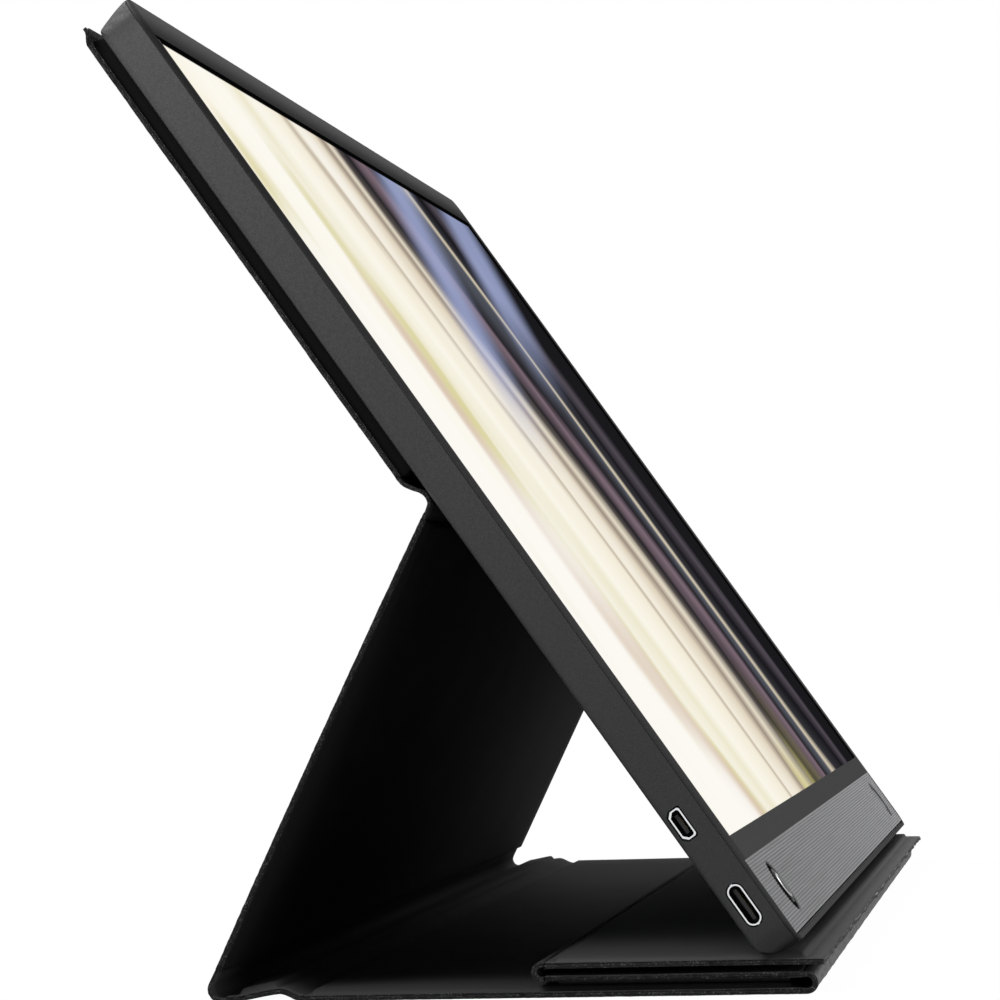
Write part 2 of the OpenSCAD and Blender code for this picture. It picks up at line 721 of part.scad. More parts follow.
module back_skin() color("#2b2b2c") in_back() panel_skin(back_len + rim_w, false, true);
module back_board() color("#6b5a45") in_back() difference() {
  panel_board(0, back_len, back_board_t);
  low = magnet_w / 2 + back_board_low + fit;
  for (h = magnet_rows, x = magnet_cols)
    translate([x - magnet_l / 2 - fit, h - low, skin_t + back_board_t - magnet_t - fit])
      cube([magnet_l + 2 * fit, magnet_w + 2 * fit, magnet_t + past]);
}
module back_magnets() color("#c9cbcf") in_back() {
  low = magnet_w / 2 + back_board_low;
  for (h = magnet_rows, x = magnet_cols)
    translate([x - magnet_l / 2, h - low, skin_t + back_board_t - magnet_t - touch])
      cube([magnet_l, magnet_w, magnet_t]);
}
module back_lining() color("#1d1d1e") in_back()
  panel_lining(back_len + rim_w - lining_in, 0, back_len, back_board_t);

// The soft strip between the back panel and the strut, which dips in to the display's back
// Its middle points are steps down from the back panel's board, in shares of the gap to the fold's line,
// and steps out from the display's back, in shares of the skin
module back_fold() color("#262627") {
  deep = display_t + run + skin_t / 2;
  steps = [[0.23, 2.3 * skin_t], [0.34, 1.85 * skin_t], [0.45, 1.25 * skin_t], [0.55, 0.6 * skin_t],
    [0.66, 0.15 * skin_t], [0.76, 0], [0.86, 0.07 * skin_t], [0.94, 0.4 * skin_t], [1, skin_t],
    [1.06, 1.75 * skin_t]];
  strip(concat(
    [for (down = [touch, stub + touch]) on_display(back_board_low - down, reach_back - skin_t / 2)],
    [for (p = steps) on_display(back_board_low - p[0] * board_gap, deep + p[1])],
    [for (up = [fold_rise, touch]) on_strut(strut_end + up, -strut_skin_low + skin_t / 2)]
  ), skin_t, cover_w - 2 * touch);
}

// The strut's frame: y from the start of its skin, z = 0 on its outer face
strut_l = strut_end - strut_start;
module in_strut_panel() in_strut() translate([0, strut_start, -strut_skin_low]) children();
module strut_skin() color("#2b2b2c") in_strut_panel() panel_skin(strut_l, false, false);
strut_board_in = 0.8;
strut_board_end = strut_l - strut_board_in;
module strut_board() color("#6b5a45") in_strut_panel() panel_board(strut_board_in, strut_board_end, board_t);
module strut_lining() color("#1d1d1e") in_strut_panel()
  panel_lining(strut_l, strut_board_in, strut_board_end, board_t);

// The soft fold at the foot, from the strut round to the spine
module foot_fold() color("#262627")
  strip(concat(
    [on_strut(strut_start - touch, -foot_z + skin_t / 2)],
    arc(foot_line, foot_z - skin_t / 2, strut_turn - 90, -90),
    [[foot_y - foot_start + touch, skin_t / 2]]
  ), skin_t, cover_w - 2 * touch);
foot_start = 2.2;

// The base's skin runs under the spine too, and arches where the spine ends
arch_w = 4.5;
arch_run = 1.2;
arch_steps = 8;
arch_top = base_rear + arch_w / 3;
spine_end = foot_y - foot_start;
function spine_lift(y) = spine_arch * (spine_end - y) / (spine_end - arch_top);
module base_skin() color("#2b2b2c") {
  h = skin_t / 2;
  strip(concat(
    [[front_line[0], h]],
    [for (i = [0:arch_steps])
      [arch_top - arch_w * (1 - i / arch_steps), h + spine_arch * (1 - cos(180 * i / arch_steps)) / 2]],
    [[arch_top + arch_run, h + spine_lift(arch_top + arch_run)]],
    [[spine_end - 4 * stub, h + spine_lift(spine_end - 2 * stub)], [spine_end - stub, h], [spine_end, h]]
  ), skin_t, cover_w);
}
// A narrow stiffener in the spine
spine_board_in = 1.8;
module spine_board() color("#6b5a45") {
  above = skin_t + 0.5 + touch;
  a = arch_top + spine_board_in;
  b = spine_end - spine_board_in;
  strip([[a, spine_lift(a) + above], [b, spine_lift(b) + above]], board_t, cover_w - 2 * rim_w);
}

base_l = base_rear - front_line[0];
module in_base() translate([0, front_line[0], 0]) children();
board_end = 2.6;
base_board_end = base_l - board_end - arch_w / 2;
module base_board() color("#6b5a45") in_base() panel_board(board_end, base_board_end, board_t);
module base_lining() color("#1d1d1e") in_base()
  panel_lining(arch_top - arch_w - front_line[0] - fit, board_end, base_board_end, board_t);

// The soft fold at the front, from the base up to the flap
module front_fold() color("#262627")
  strip(concat(
    [[front_line[0] - touch, rim_t / 2]],
    arc(front_line - [touch + stub, 0], front_fold_z - rim_t / 2, -90, -270, 20),
    [[front_line[0] - touch, flap_top - rim_t / 2]]
  ), rim_t, cover_w - 2 * touch);

// The flap lies upside down on the base, from the front fold back to the rear fold
module in_flap() translate([0, rear_line[0], flap_top]) rotate([180, 0, 0]) children();
module flap_skin() color("#2b2b2c") in_flap() panel_skin(flap_len, false, false);
module flap_board() color("#6b5a45") in_flap() panel_board(board_end, flap_len - board_end, board_t);
module flap_lining() color("#1d1d1e") in_flap()
  panel_lining(flap_len, board_end, flap_len - board_end, board_t);

// The soft fold at the rear, from the flap up to the ledge
module rear_fold() color("#262627")
  strip(concat(
    [[rear_line[0] + touch, flap_top - rim_t / 2]],
    arc(rear_line + [touch + stub, 0], (skin_gap + rim_t) / 2, -90, 90, 20),
    [[rear_line[0] + touch, ledge_low + rim_t / 2]]
  ), rim_t, cover_w - 2 * touch);

// The ledge lies on the flap, from the rear fold forward to its thin front edge
ledge_l = flap_len + ledge_lip;
module in_ledge() translate([0, front_line[0] - ledge_lip, ledge_low]) children();
module ledge_skin() color("#2b2b2c") in_ledge() panel_skin(ledge_l, true, false);
module ledge_board() color("#6b5a45") in_ledge() difference() {
  panel_board(ledge_lip, ledge_l - board_end, board_t);
  ledge_bars(fit, past);
}
module ledge_magnets() color("#c9cbcf") in_ledge() ledge_bars(0, 0);
module ledge_lining() color("#1d1d1e") in_ledge()
  panel_lining(ledge_l, ledge_lip, ledge_l - board_end, board_t);
module ledge_bars(grow, up) {
  bar_t = board_t - 3 * touch;
  for (x = magnet_cols) translate([x - magnet_l / 2 - grow, ledge_l / 2 - grow, skin_t + 2 * touch - up])
    cube([magnet_l + 2 * grow, magnet_w + 2 * grow, bar_t + 2 * up]);
}

rear_shell();
front_bezel();
chin_strip();
lcd_cell();
optical_films();
light_guide();
reflector_sheet();
led_bar();
panel_tray();
driver_flex();
driver_board();
display_cable();
main_board();
board_shield();
usb_c_shell();
usb_c_tongue();
hdmi_shell();
hdmi_tongue();
button_board();
menu_switch();
power_switch();
light_pipe();
shell_screws();
magnet_plates();
menu_button();
power_button();
back_skin();
back_board();
back_magnets();
back_lining();
back_fold();
strut_skin();
strut_board();
strut_lining();
foot_fold();
base_skin();
spine_board();
base_board();
base_lining();
front_fold();
flap_skin();
flap_board();
flap_lining();
rear_fold();
ledge_skin();
ledge_board();
ledge_magnets();
ledge_lining();
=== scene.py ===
# %% [markdown]
# # A portable monitor that stands in its folded cover
# The hard parts of the display and the boards inside the cover are already exact solids. They are
# loaded first and act as a fixed frame: nothing here moves them. What this lesson adds is the looks:
# paint, glass and polished metal on the display, and a cover of real cloth with cut edges and folds.

# %% Load the frame
import json
import math

import bpy
import numpy as np
from mathutils import Matrix, Vector


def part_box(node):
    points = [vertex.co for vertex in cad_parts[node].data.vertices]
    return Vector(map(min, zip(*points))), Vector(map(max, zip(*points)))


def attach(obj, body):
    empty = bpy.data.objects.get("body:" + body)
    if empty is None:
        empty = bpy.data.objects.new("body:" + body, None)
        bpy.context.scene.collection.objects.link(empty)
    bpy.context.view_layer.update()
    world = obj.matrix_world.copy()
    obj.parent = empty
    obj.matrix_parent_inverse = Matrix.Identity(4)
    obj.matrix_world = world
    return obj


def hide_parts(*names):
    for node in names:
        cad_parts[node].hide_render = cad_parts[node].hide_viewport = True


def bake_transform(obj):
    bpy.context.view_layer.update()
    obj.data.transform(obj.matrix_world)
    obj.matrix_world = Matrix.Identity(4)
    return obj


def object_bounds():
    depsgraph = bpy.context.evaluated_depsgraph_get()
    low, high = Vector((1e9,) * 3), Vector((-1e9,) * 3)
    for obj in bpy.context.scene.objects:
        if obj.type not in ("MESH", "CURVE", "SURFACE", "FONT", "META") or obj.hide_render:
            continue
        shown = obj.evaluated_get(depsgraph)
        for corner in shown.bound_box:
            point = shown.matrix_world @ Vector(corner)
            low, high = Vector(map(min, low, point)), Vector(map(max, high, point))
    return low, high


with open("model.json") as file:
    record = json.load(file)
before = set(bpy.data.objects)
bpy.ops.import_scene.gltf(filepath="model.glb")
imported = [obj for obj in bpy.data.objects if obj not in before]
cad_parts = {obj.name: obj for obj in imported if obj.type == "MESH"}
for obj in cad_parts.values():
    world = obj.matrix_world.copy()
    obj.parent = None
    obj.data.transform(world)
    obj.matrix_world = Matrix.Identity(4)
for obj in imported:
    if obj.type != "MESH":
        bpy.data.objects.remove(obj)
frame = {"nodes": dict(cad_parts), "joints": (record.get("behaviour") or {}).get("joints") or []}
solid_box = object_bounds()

mm = 0.001
nodes = frame["nodes"]

# %% [markdown]
# ## The camera
# The stand is seen from low down at its left side, almost edge-on to the screen. A long lens keeps
# the near and the far side of the display close in size. The camera is made first, so that every
# later piece can be judged through it. Its three angles are turned into three directions by hand,
# because a roll about the line of sight is easier to read that way than as Euler angles.

# %% Camera
LIP_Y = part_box("front_bezel")[0].y
CAMERA_PLACE = Vector((-843.2 * mm, LIP_Y - 59.0 * mm, 72.5 * mm))
yaw, pitch, roll = math.radians(9.77), math.radians(2.055), math.radians(-1.91)
LENS_MM = 124.79

ahead = Vector((math.cos(yaw) * math.cos(pitch), math.sin(yaw) * math.cos(pitch), math.sin(pitch)))
level = Vector((math.sin(yaw), -math.cos(yaw), 0))
upward = level.cross(ahead)
right = math.cos(roll) * level + math.sin(roll) * upward
top = math.cos(roll) * upward - math.sin(roll) * level

camera_data = bpy.data.cameras.new("camera")
camera_data.lens = LENS_MM
camera_data.clip_start = 10 * mm
camera = bpy.data.objects.new("camera", camera_data)
bpy.context.scene.collection.objects.link(camera)
turn = Matrix((right, top, -ahead)).transposed().to_4x4()
camera.matrix_world = Matrix.Translation(CAMERA_PLACE) @ turn
bpy.context.scene.camera = camera
bpy.context.scene.view_settings.view_transform = "Standard"
print("camera at", [round(c, 3) for c in CAMERA_PLACE], "with a lens of", LENS_MM, "mm")

# %% [markdown]
# ## Shader sums that read like sums
# A material is a graph of nodes, and a graph is hard to read in a script. One small class wraps a
# socket, so that `1 - mask` or `ridges * 0.3` adds the Math nodes by itself. Everything else comes
# from one method, `add`, which takes a node's type, what goes into its sockets and its settings.
# Two more helpers follow: a clouded finish, and a maker of pieces from points and faces.


# %% The wire and the finish
class Wire:
    """A shader socket that can take part in a sum."""

    def __init__(self, graph, socket):
        self.graph = graph
        self.socket = socket

    def maths(self, operation, *values):
        return self.graph.add("ShaderNodeMath", dict(enumerate(values)), operation=operation)

    def __add__(self, other):
        return self.maths("ADD", self, other)

    def __sub__(self, other):
        return self.maths("SUBTRACT", self, other)

    def __rsub__(self, other):
        return self.maths("SUBTRACT", other, self)

    def __mul__(self, other):
        return self.maths("MULTIPLY", self, other)

    def __truediv__(self, other):
        return self.maths("DIVIDE", self, other)

    def __pow__(self, other):
        return self.maths("POWER", self, other)

    def __abs__(self):
        return self.maths("ABSOLUTE", self)

    __radd__ = __add__
    __rmul__ = __mul__


def paint(text):
    """A colour as it is written in a paint chart, turned into the light that Blender adds up."""
    parts = [int(text[i : i + 2], 16) / 255 for i in (1, 3, 5)]
    return [((c + 0.055) / 1.055) ** 2.4 if c > 0.04045 else c / 12.92 for c in parts] + [1.0]


class Graph:
    """A tree of nodes, with short ways to add one and to join it to others."""

    def __init__(self, tree):
        self.tree = tree

    def join(self, socket, value):
        """Puts a wire, a colour written as text or a plain number into a socket."""
        if isinstance(value, Wire):
            self.tree.links.new(value.socket, socket)
        else:
            socket.default_value = paint(value) if isinstance(value, str) else value

    def add(self, kind, sockets=None, out=0, stops=(), **settings):
        """Adds a node. stops: the places and colours of a colour ramp."""
        node = self.tree.nodes.new(kind)
        for name, value in settings.items():
            setattr(node, name, value)
        for _ in stops[2:]:
            node.color_ramp.elements.new(1.0)
        for place, (position, colour) in enumerate(stops):
            node.color_ramp.elements[place].position = position
            node.color_ramp.elements[place].color = paint(colour)
        for name, value in (sockets or {}).items():
            self.join(node.inputs[name], value)
        return Wire(self, node.outputs[out])

    def vector(self, operation, *values, out=0):
        return self.add("ShaderNodeVectorMath", dict(enumerate(values)), out, operation=operation)

    def seen(self):
        """1 for the rays that show a thing straight to the camera, in a mirror or through glass."""
        kinds = ("Camera", "Glossy", "Transmission")
        return sum(self.add("ShaderNodeLightPath", out=f"Is {kind} Ray") for kind in kinds)


class Finish(Graph):
    """One material, with short ways to the nodes that this object needs."""

    def __init__(self, name, **constants):
        self.material = bpy.data.materials.new(name)
        self.material.use_nodes = True
        super().__init__(self.material.node_tree)
        self.shader = self.tree.nodes["Principled BSDF"]
        self.set(**constants)

    def set(self, **values):
        for name, value in values.items():
            self.join(self.shader.inputs[name.replace("_", " ")], value)
        return self

    def place(self):
        return self.add("ShaderNodeTexCoord", out="Object")

    def along(self, direction, origin=(0, 0, 0)):
        """How far a point lies along a direction from an origin, in metres."""
        moved = self.vector("SUBTRACT", self.place(), origin)
        return self.vector("DOT_PRODUCT", moved, direction, out="Value")

    def noise(self, size, detail, stretch=None, vector=None):
        """Cloudy values around 0.5, in lumps of about that size in metres."""
        vector = vector or self.place()
        if stretch:
            vector = self.vector("MULTIPLY", vector, stretch)
        sockets = {"Vector": vector, "Scale": 1 / size, "Detail": detail}
        return self.add("ShaderNodeTexNoise", sockets)

    def cells(self, size, **settings):
        """Rings round scattered points, about that far apart in metres."""
        sockets = {"Vector": self.place(), "Scale": 1 / size}
        return self.add("ShaderNodeTexVoronoi", sockets, **settings)

    def fade(self, value, low, high, to_low=0.0, to_high=1.0):
        """Runs smoothly from one value to another while the input goes from low to high."""
        ends = {"From Min": low, "From Max": high, "To Min": to_low, "To Max": to_high}
        sockets = {"Value": value, **ends}
        return self.add("ShaderNodeMapRange", sockets, interpolation_type="SMOOTHSTEP")

    def mix(self, factor, first, second, blend="MIX"):
        settings = {"data_type": "RGBA", "blend_type": blend, "clamp_factor": True}
        return self.add("ShaderNodeMix", {0: factor, 6: first, 7: second}, 2, **settings)

    def tones(self, value, low, high, first, second):
        """One colour that turns into another while a value goes from low to high."""
        return self.mix(self.fade(value, low, high), first, second)

    def drift(self, cloud, low, high):
        """Runs between two values with a cloud of noise, whose own values stay near 0.5."""
        return self.fade(cloud, 0.3, 0.7, low, high)

    def bump(self, height, depth):
        """A Bump node whose height runs from 0 to 1 over that depth in metres."""
        return self.add("ShaderNodeBump", {"Height": height, "Distance": depth, "Strength": 1.0})


def clouded(name, size, detail, tones, roughness, shine=0.5, grain=0.0):
    """A finish whose tone and roughness drift together, in clouds of one size."""
    finish = Finish(name, Specular_IOR_Level=shine)
    cloud = finish.noise(size, detail)
    smooth, rough = roughness
    finish.set(Base_Color=finish.mix(cloud, tones[0], tones[1]))
    finish.set(Roughness=cloud * (rough - smooth) + smooth)
    if grain:
        finish.set(Normal=finish.bump(cloud, grain))
    return finish


def finish_piece(name, verts, faces, finishes, body=None, face_finishes=None, smooth=True):
    """Makes a mesh piece from points and faces, gives it its finishes and lets it ride on a body."""
    mesh = bpy.data.meshes.new(name)
    mesh.from_pydata([tuple(v) for v in verts], [], [tuple(f) for f in faces])
    for finish in finishes:
        mesh.materials.append(finish.material)
    if face_finishes is not None:
        mesh.polygons.foreach_set("material_index", np.array(face_finishes, dtype=np.int32))
    mesh.polygons.foreach_set("use_smooth", [smooth] * len(mesh.polygons))
    mesh.update()
    made = bpy.data.objects.new(name, mesh)
    bpy.context.scene.collection.objects.link(made)
    if body:
        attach(made, body)
    return made


print("a colour of #808080 is", round(paint("#808080")[0], 3), "in light")

# %% [markdown]
# ## Floor, backdrop and lamps
# A plain pale floor and a plain pale world are enough. The floor shines a little of its own light at
# the camera, so that it reads as white, while the rest of it is lit and keeps the soft shadow. A
# small lamp hangs high on the camera's left, and three big ones stand well away: before the screen,
# behind the stand and off its far end. Their light is plain, so that a paint renders as written.

# %% Floor and world
FLOOR_SIZE = 60.0
FLOOR_GLOW = 0.95
FLOOR_WHITE = 1.03
FLOOR_NEAR, FLOOR_FAR = 0.4, 1.6

ground = Finish("pale_floor", Roughness=0.9, Specular_IOR_Level=0.0, Base_Color="#b4b4b2")
glow = ground.add("ShaderNodeEmission", {"Color": (1, 1, 1, 1), "Strength": FLOOR_WHITE})
away = ground.vector("LENGTH", ground.place(), out="Value")
share = ground.fade(away, FLOOR_NEAR, FLOOR_FAR, FLOOR_GLOW, 1.0)
lit_or_glowing = {0: ground.seen() * share, 1: Wire(ground, ground.shader.outputs[0]), 2: glow}
surface = ground.add("ShaderNodeMixShader", lit_or_glowing)
ground.join(ground.tree.nodes["Material Output"].inputs["Surface"], surface)
square = ((-1, -1), (1, -1), (1, 1), (-1, 1))
corners = [(x * FLOOR_SIZE / 2, y * FLOOR_SIZE / 2, 0) for x, y in square]
finish_piece("floor", corners, [range(4)], [ground], smooth=False)

WORLD_LIGHT = 0.26
world = bpy.data.worlds.new("pale_world")
world.use_nodes = True
bpy.context.scene.world = world
sky = Graph(world.node_tree)
strength = sky.add("ShaderNodeMapRange", {"Value": sky.seen(), "To Min": WORLD_LIGHT})
background = sky.tree.nodes["Background"]
sky.join(background.inputs["Color"], (1, 1, 1, 1))
sky.join(background.inputs["Strength"], strength)
print("floor", FLOOR_SIZE, "m wide, world light", WORLD_LIGHT)

# %% Lamps
MIDDLE = (Vector(solid_box[0]) + Vector(solid_box[1])) / 2


def lamp(name, place, size, watts):
    """A square soft lamp that points at the middle of the object."""
    data = bpy.data.lights.new(name, "AREA")
    data.size = size
    data.energy = watts
    made = bpy.data.objects.new(name, data)
    made.location = place
    made.rotation_euler = (MIDDLE - Vector(place)).to_track_quat("-Z", "Y").to_euler()
    bpy.context.scene.collection.objects.link(made)


lamp("lamp_over_left", (-0.45, 0.3, 0.55), 0.3, 3.6)
lamp("lamp_low_front", (-0.4, -2.0, 0.7), 1.2, 22)
lamp("lamp_behind", (0.6, 1.9, 1.2), 1.2, 28)
lamp("lamp_right", (2.0, -0.3, 1.1), 1.2, 20)
print("lamps made:", len(bpy.data.lights))

# %% [markdown]
# ## Where things are on the display
# The display leans back. It is easiest to place things on it by their height up the face and their
# depth behind it. Its tilt gives those two directions, and its lowest front corner is the zero.

# %% The display's directions
TILT = math.radians(56)
UP_FACE = Vector((0, math.cos(TILT), math.sin(TILT)))
INTO_FACE = Vector((0, math.sin(TILT), -math.cos(TILT)))
ACROSS = (1, 0, 0)

bezel_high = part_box("front_bezel")[1]
foremost = min((v.co for v in nodes["front_bezel"].data.vertices), key=lambda point: point.y)
LIP = Vector((0, foremost.y, foremost.z))
HALF_WIDTH = bezel_high.x
FACE_HEIGHT = (bezel_high.z - LIP.z) / math.sin(TILT)


def on_display(x, height, depth):
    """A point at a height up the display's face and a depth behind it, in metres."""
    return Vector((x, 0, 0)) + LIP + UP_FACE * height + INTO_FACE * depth


print("lip at", [round(c / mm, 2) for c in LIP], "face", round(2 * HALF_WIDTH / mm, 1), "x",
      round(FACE_HEIGHT / mm, 1), "mm")

# %% [markdown]
# ## Painted plastic
# The rear shell and the bezel are moulded plastic with a matt, slightly sandy paint. Up close such a
# paint is a field of tiny grains that catch the light, over a tone that drifts a little. Two sizes
# of noise give the grain, and a slow one the drift. The grain goes into the bump too, because paint
# that only changes colour looks printed. Over all this lies painted light and shade, set by the
# place on the display.


# %% Painted shell and bezel
WINDOW_HALF = 174.2 * mm
WINDOW_LOW = 24.1 * mm
WINDOW_HIGH = 219.9 * mm
WALL_NEAR, WALL_FAR = 0.6 * mm, 0.7 * mm


def sandy_paint(name, tone, roughness, grain_depth, shine, painted_shade_of):
    """Grains of two tones over a slow drift to a third, under painted light and shade for each place.
    """
    finish = Finish(name, Specular_IOR_Level=shine)
    fine = finish.noise(0.35 * mm, 3)
    coarse = finish.noise(0.9 * mm, 2)
    drift = finish.noise(60 * mm, 2)
    sand = fine * 0.65 + coarse * 0.35
    dark = finish.tones(sand, 0.38, 0.66, tone[0], tone[1])
    drifted = finish.mix(finish.drift(drift, 0, 0.35), dark, tone[2])
    finish.set(Base_Color=finish.mix(1.0, drifted, painted_shade_of(finish), "MULTIPLY"))
    finish.set(Roughness=finish.drift(coarse, roughness - 0.07, roughness + 0.07))
    finish.set(Normal=finish.bump(sand, grain_depth))
    return finish


def painted_shell_shade(finish):
    """Painted light and shade: the shell is palest high up its sides and falls off towards the foot
    and over the top edge.
    """
    height = finish.along(UP_FACE, LIP)
    share = height / FACE_HEIGHT
    foot = finish.fade(height, -2 * mm, 10 * mm, 0.3, 1.0)
    over_top = finish.fade(share, 0.965, 0.99, 1.0, 0.5)
    return (share * 0.25 + share**3 * 0.31 + 0.43) * (foot * over_top)


def painted_bezel_shade(finish):
    """Painted light and shade: palest along the top edge and the far side's outer edge, darker up the
    face and down the left side, and painted shadow, nearly black, on the walls round the window.
    """
    height = finish.along(UP_FACE, LIP)
    beside = finish.along(ACROSS)
    deep = finish.along(INTO_FACE, LIP)
    face = finish.fade(height, 60 * mm, 200 * mm, 1.0, 0.5)
    face = face + finish.fade(height, WINDOW_HIGH, FACE_HEIGHT, 0.0, 1.05)
    sides = finish.fade(beside, -WINDOW_HALF - 0.1 * mm, -WINDOW_HALF + 0.4 * mm, 0.7, 1.0)
    sides = sides * finish.fade(beside, WINDOW_HALF + 1.2 * mm, HALF_WIDTH, 1.0, 2.2)
    # painted shadow: the window's walls, deeper than the face, go nearly black
    in_window = finish.fade(abs(beside), WINDOW_HALF + WALL_FAR, WINDOW_HALF + WALL_NEAR)
    in_window = in_window * finish.fade(height, WINDOW_HIGH + WALL_FAR, WINDOW_HIGH + WALL_NEAR)
    walls = in_window * finish.fade(deep, 0.02 * mm, 0.1 * mm)
    return face * sides * (1 - walls * 0.93)


shell_tones = ("#3f3f40", "#4c4c4d", "#424243")
bezel_tones = ("#474747", "#4d4d4e", "#49494a")
shell_paint = sandy_paint("sandy_shell_paint", shell_tones, 0.52, 0.05 * mm, 0.25, painted_shell_shade)
bezel_paint = sandy_paint("satin_bezel_paint", bezel_tones, 0.6, 0.004 * mm, 0.0, painted_bezel_shade)
print("paints:", shell_paint.material.name, bezel_paint.material.name)

# %% [markdown]
# ## The ridged strip under the screen
# The strip is a separate moulding in a lighter silver-grey, with fine ridges from end to end. The
# ridges are real, and the finish adds the brushed look of metallic paint: noise stretched some
# eighty times along the strip. Over it lies painted light and shade: painted shade in the grooves,
# a painted sheen that pales the strip towards its far end, and painted shadow in the dishes round
# the two controls.

# %% Silver strip paint
CONTROL_UP = 10.1 * mm
DISH_HALF = 6.0 * mm


def from_control(finish, node):
    """How far a point lies from the middle of a control, along the face."""
    low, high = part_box(node)
    middle = on_display((low.x + high.x) / 2, CONTROL_UP, 0)
    beside = finish.along(ACROSS, middle)
    above = finish.along(UP_FACE, middle)
    return (beside * beside + above * above) ** 0.5


RIDGES = 27
STRIP_LOW = 1.5 * mm
STRIP_HIGH = 18.6 * mm

strip = Finish("silver_strip_paint", Specular_IOR_Level=0.0)
height_up = strip.along(UP_FACE, LIP)
brushed = strip.noise(0.6 * mm, 3, (0.012, 1, 1))
turns = (height_up - STRIP_LOW) * (RIDGES / (STRIP_HIGH - STRIP_LOW))
from_groove = abs(turns.maths("PINGPONG", turns, 0.5))
tone = strip.tones(brushed, 0.35, 0.65, "#8a8a8b", "#939395")
# painted sheen: the strip pales towards its far end
tone = strip.tones(strip.along(ACROSS), -HALF_WIDTH, HALF_WIDTH, tone, "#a0a0a2")
# painted shade in the grooves between the ridges
ridged = strip.tones(from_groove, 0.0, 0.16, "#828283", tone)
# painted shadow: the dish round each control is near black
shaded_dish = sum(
    strip.fade(from_control(strip, node), DISH_HALF, DISH_HALF - 0.4 * mm)
    for node in ("menu_button", "power_button")
)
strip.set(Base_Color=strip.mix(shaded_dish, ridged, "#141414"))
strip.set(Roughness=strip.drift(brushed, 0.36, 0.5))
strip.set(Normal=strip.bump(brushed, 0.01 * mm))
print("strip of", RIDGES, "ridges in", round((STRIP_HIGH - STRIP_LOW) / mm, 1), "mm")

# %% [markdown]
# ## The lit picture
# A display that is switched on shows its own light, so the picture goes into the emission and the
# surface under it stays nearly black. The picture is a made-up one: soft bands of cream, yellow,
# charcoal, plum and blue, as if a camera had been swept across a lit room. Each band is a stop of a
# colour ramp, and the ramp's input is the place across the screen, bent by slow noise, so that the
# bands run on the slant and swell and thin out. Patches of yellow, rose and white lie over them,
# each with its own lumps and its own reach across the screen, and two slanting panes of cool blue.

# %% Picture
PICTURE_WIDE = 344.2 * mm
PICTURE_HIGH = 194.6 * mm
PICTURE_LOW = 24.2 * mm
PICTURE_LIGHT = 0.97
BANDS = (
    (0.00, "#fbf5e4"), (0.10, "#fffcf3"), (0.17, "#f0ead0"), (0.22, "#fdf9ec"), (0.31, "#f6eedb"),
    (0.335, "#c4b7a4"), (0.35, "#f7f0e0"), (0.43, "#e2d6c0"), (0.47, "#9c8e80"), (0.50, "#e6dcc8"),
    (0.54, "#554e4c"), (0.57, "#201f22"), (0.63, "#7d6a74"), (0.66, "#232125"), (0.725, "#565963"),
    (0.745, "#d6cbb4"), (0.765, "#343338"), (0.82, "#141316"), (0.89, "#514a53"), (0.93, "#161518"),
)
# lump size, detail, stretch, where in the lumps, how far across, strength, tint
PATCHES = (
    (70 * mm, 2, (1.6, 0.5, 0.5), (0.56, 0.68), (0.62, 0.5), 0.75, "#d3ca80"),
    (64 * mm, 1, (1.4, 0.55, 0.55), (0.58, 0.7), (0.5, 0.36), 0.7, "#dcc3bb"),
    (90 * mm, 1, (1.5, 0.8, 0.8), (0.46, 0.6), (0.46, 0.34), 0.85, "#fffdf7"),
)
# near side, far side, lower end
SLANTS = (((0.02, 0.11), (0.22, 0.12), (0.46, 0.72)), ((0.28, 0.36), (0.49, 0.4), (0.6, 0.86)))

lit = Finish("lit_picture", Specular_IOR_Level=0.0, Roughness=0.5, Base_Color="#08080a")
across = lit.along(ACROSS) / PICTURE_WIDE + 0.5
upwards = (lit.along(UP_FACE, LIP) - PICTURE_LOW) / PICTURE_HIGH
slow = lit.noise(120 * mm, 1, (1, 0.35, 0.35))
quick = lit.noise(26 * mm, 2, (1, 0.12, 0.12))
bend = (slow - 0.5) * 0.34 + (quick - 0.5) * 0.07
sweep = across + bend + (upwards - 0.5) * 0.12
picture = lit.add("ShaderNodeValToRGB", {"Fac": sweep}, stops=BANDS)
for size, detail, stretch, in_lumps, up_to, strength, tint in PATCHES:
    lumps = lit.noise(size, detail, stretch)
    patch = lit.fade(lumps, *in_lumps) * lit.fade(sweep, *up_to)
    picture = lit.mix(patch * strength, picture, tint)
slanted = across - upwards * 0.55
cool = sum(
    lit.fade(slanted, *near) * lit.fade(slanted, *far) * lit.fade(upwards, *lower)
    for near, far, lower in SLANTS
)
picture = lit.mix(cool * 0.7, picture, "#a9b4de")
inside = lit.fade(across, 0.0035, 0.0045) * lit.fade(across, 0.9965, 0.9955)
inside = inside * lit.fade(upwards, 1.0, 0.9975)
left_margin = lit.tones(across, 0.0042, 0.003, "#000000", "#474747")
lit.set(Emission_Color=lit.mix(inside, left_margin, picture), Emission_Strength=PICTURE_LIGHT)
print("picture", round(PICTURE_WIDE / mm, 1), "x", round(PICTURE_HIGH / mm, 1), "mm")

# %% [markdown]
# ## The screen's front sheet
# The lit panel is a glass cell with a matt sheet on its front that fills the window. The sheet is a
# plate of its own here, and it ends a third of a millimetre behind the bezel's face, so the picture
# lies in a shallow frame, as it does on a real display. The thin seam round the bezel gets a gasket.


# %% Screen film
BLOCK_FACES = ((0, 1, 3, 2), (4, 6, 7, 5), (0, 4, 5, 1), (2, 3, 7, 6), (0, 2, 6, 4), (1, 5, 7, 3))


def blocks(places):
    """Blocks on the display as one mesh, each with its ends across, up the face and into it."""
    verts, faces = [], []
    for wide, up, deep in places:
        faces += [tuple(len(verts) + k for k in face) for face in BLOCK_FACES]
        verts += [on_display(x, h, d) for d in deep for h in up for x in wide]
    return verts, faces


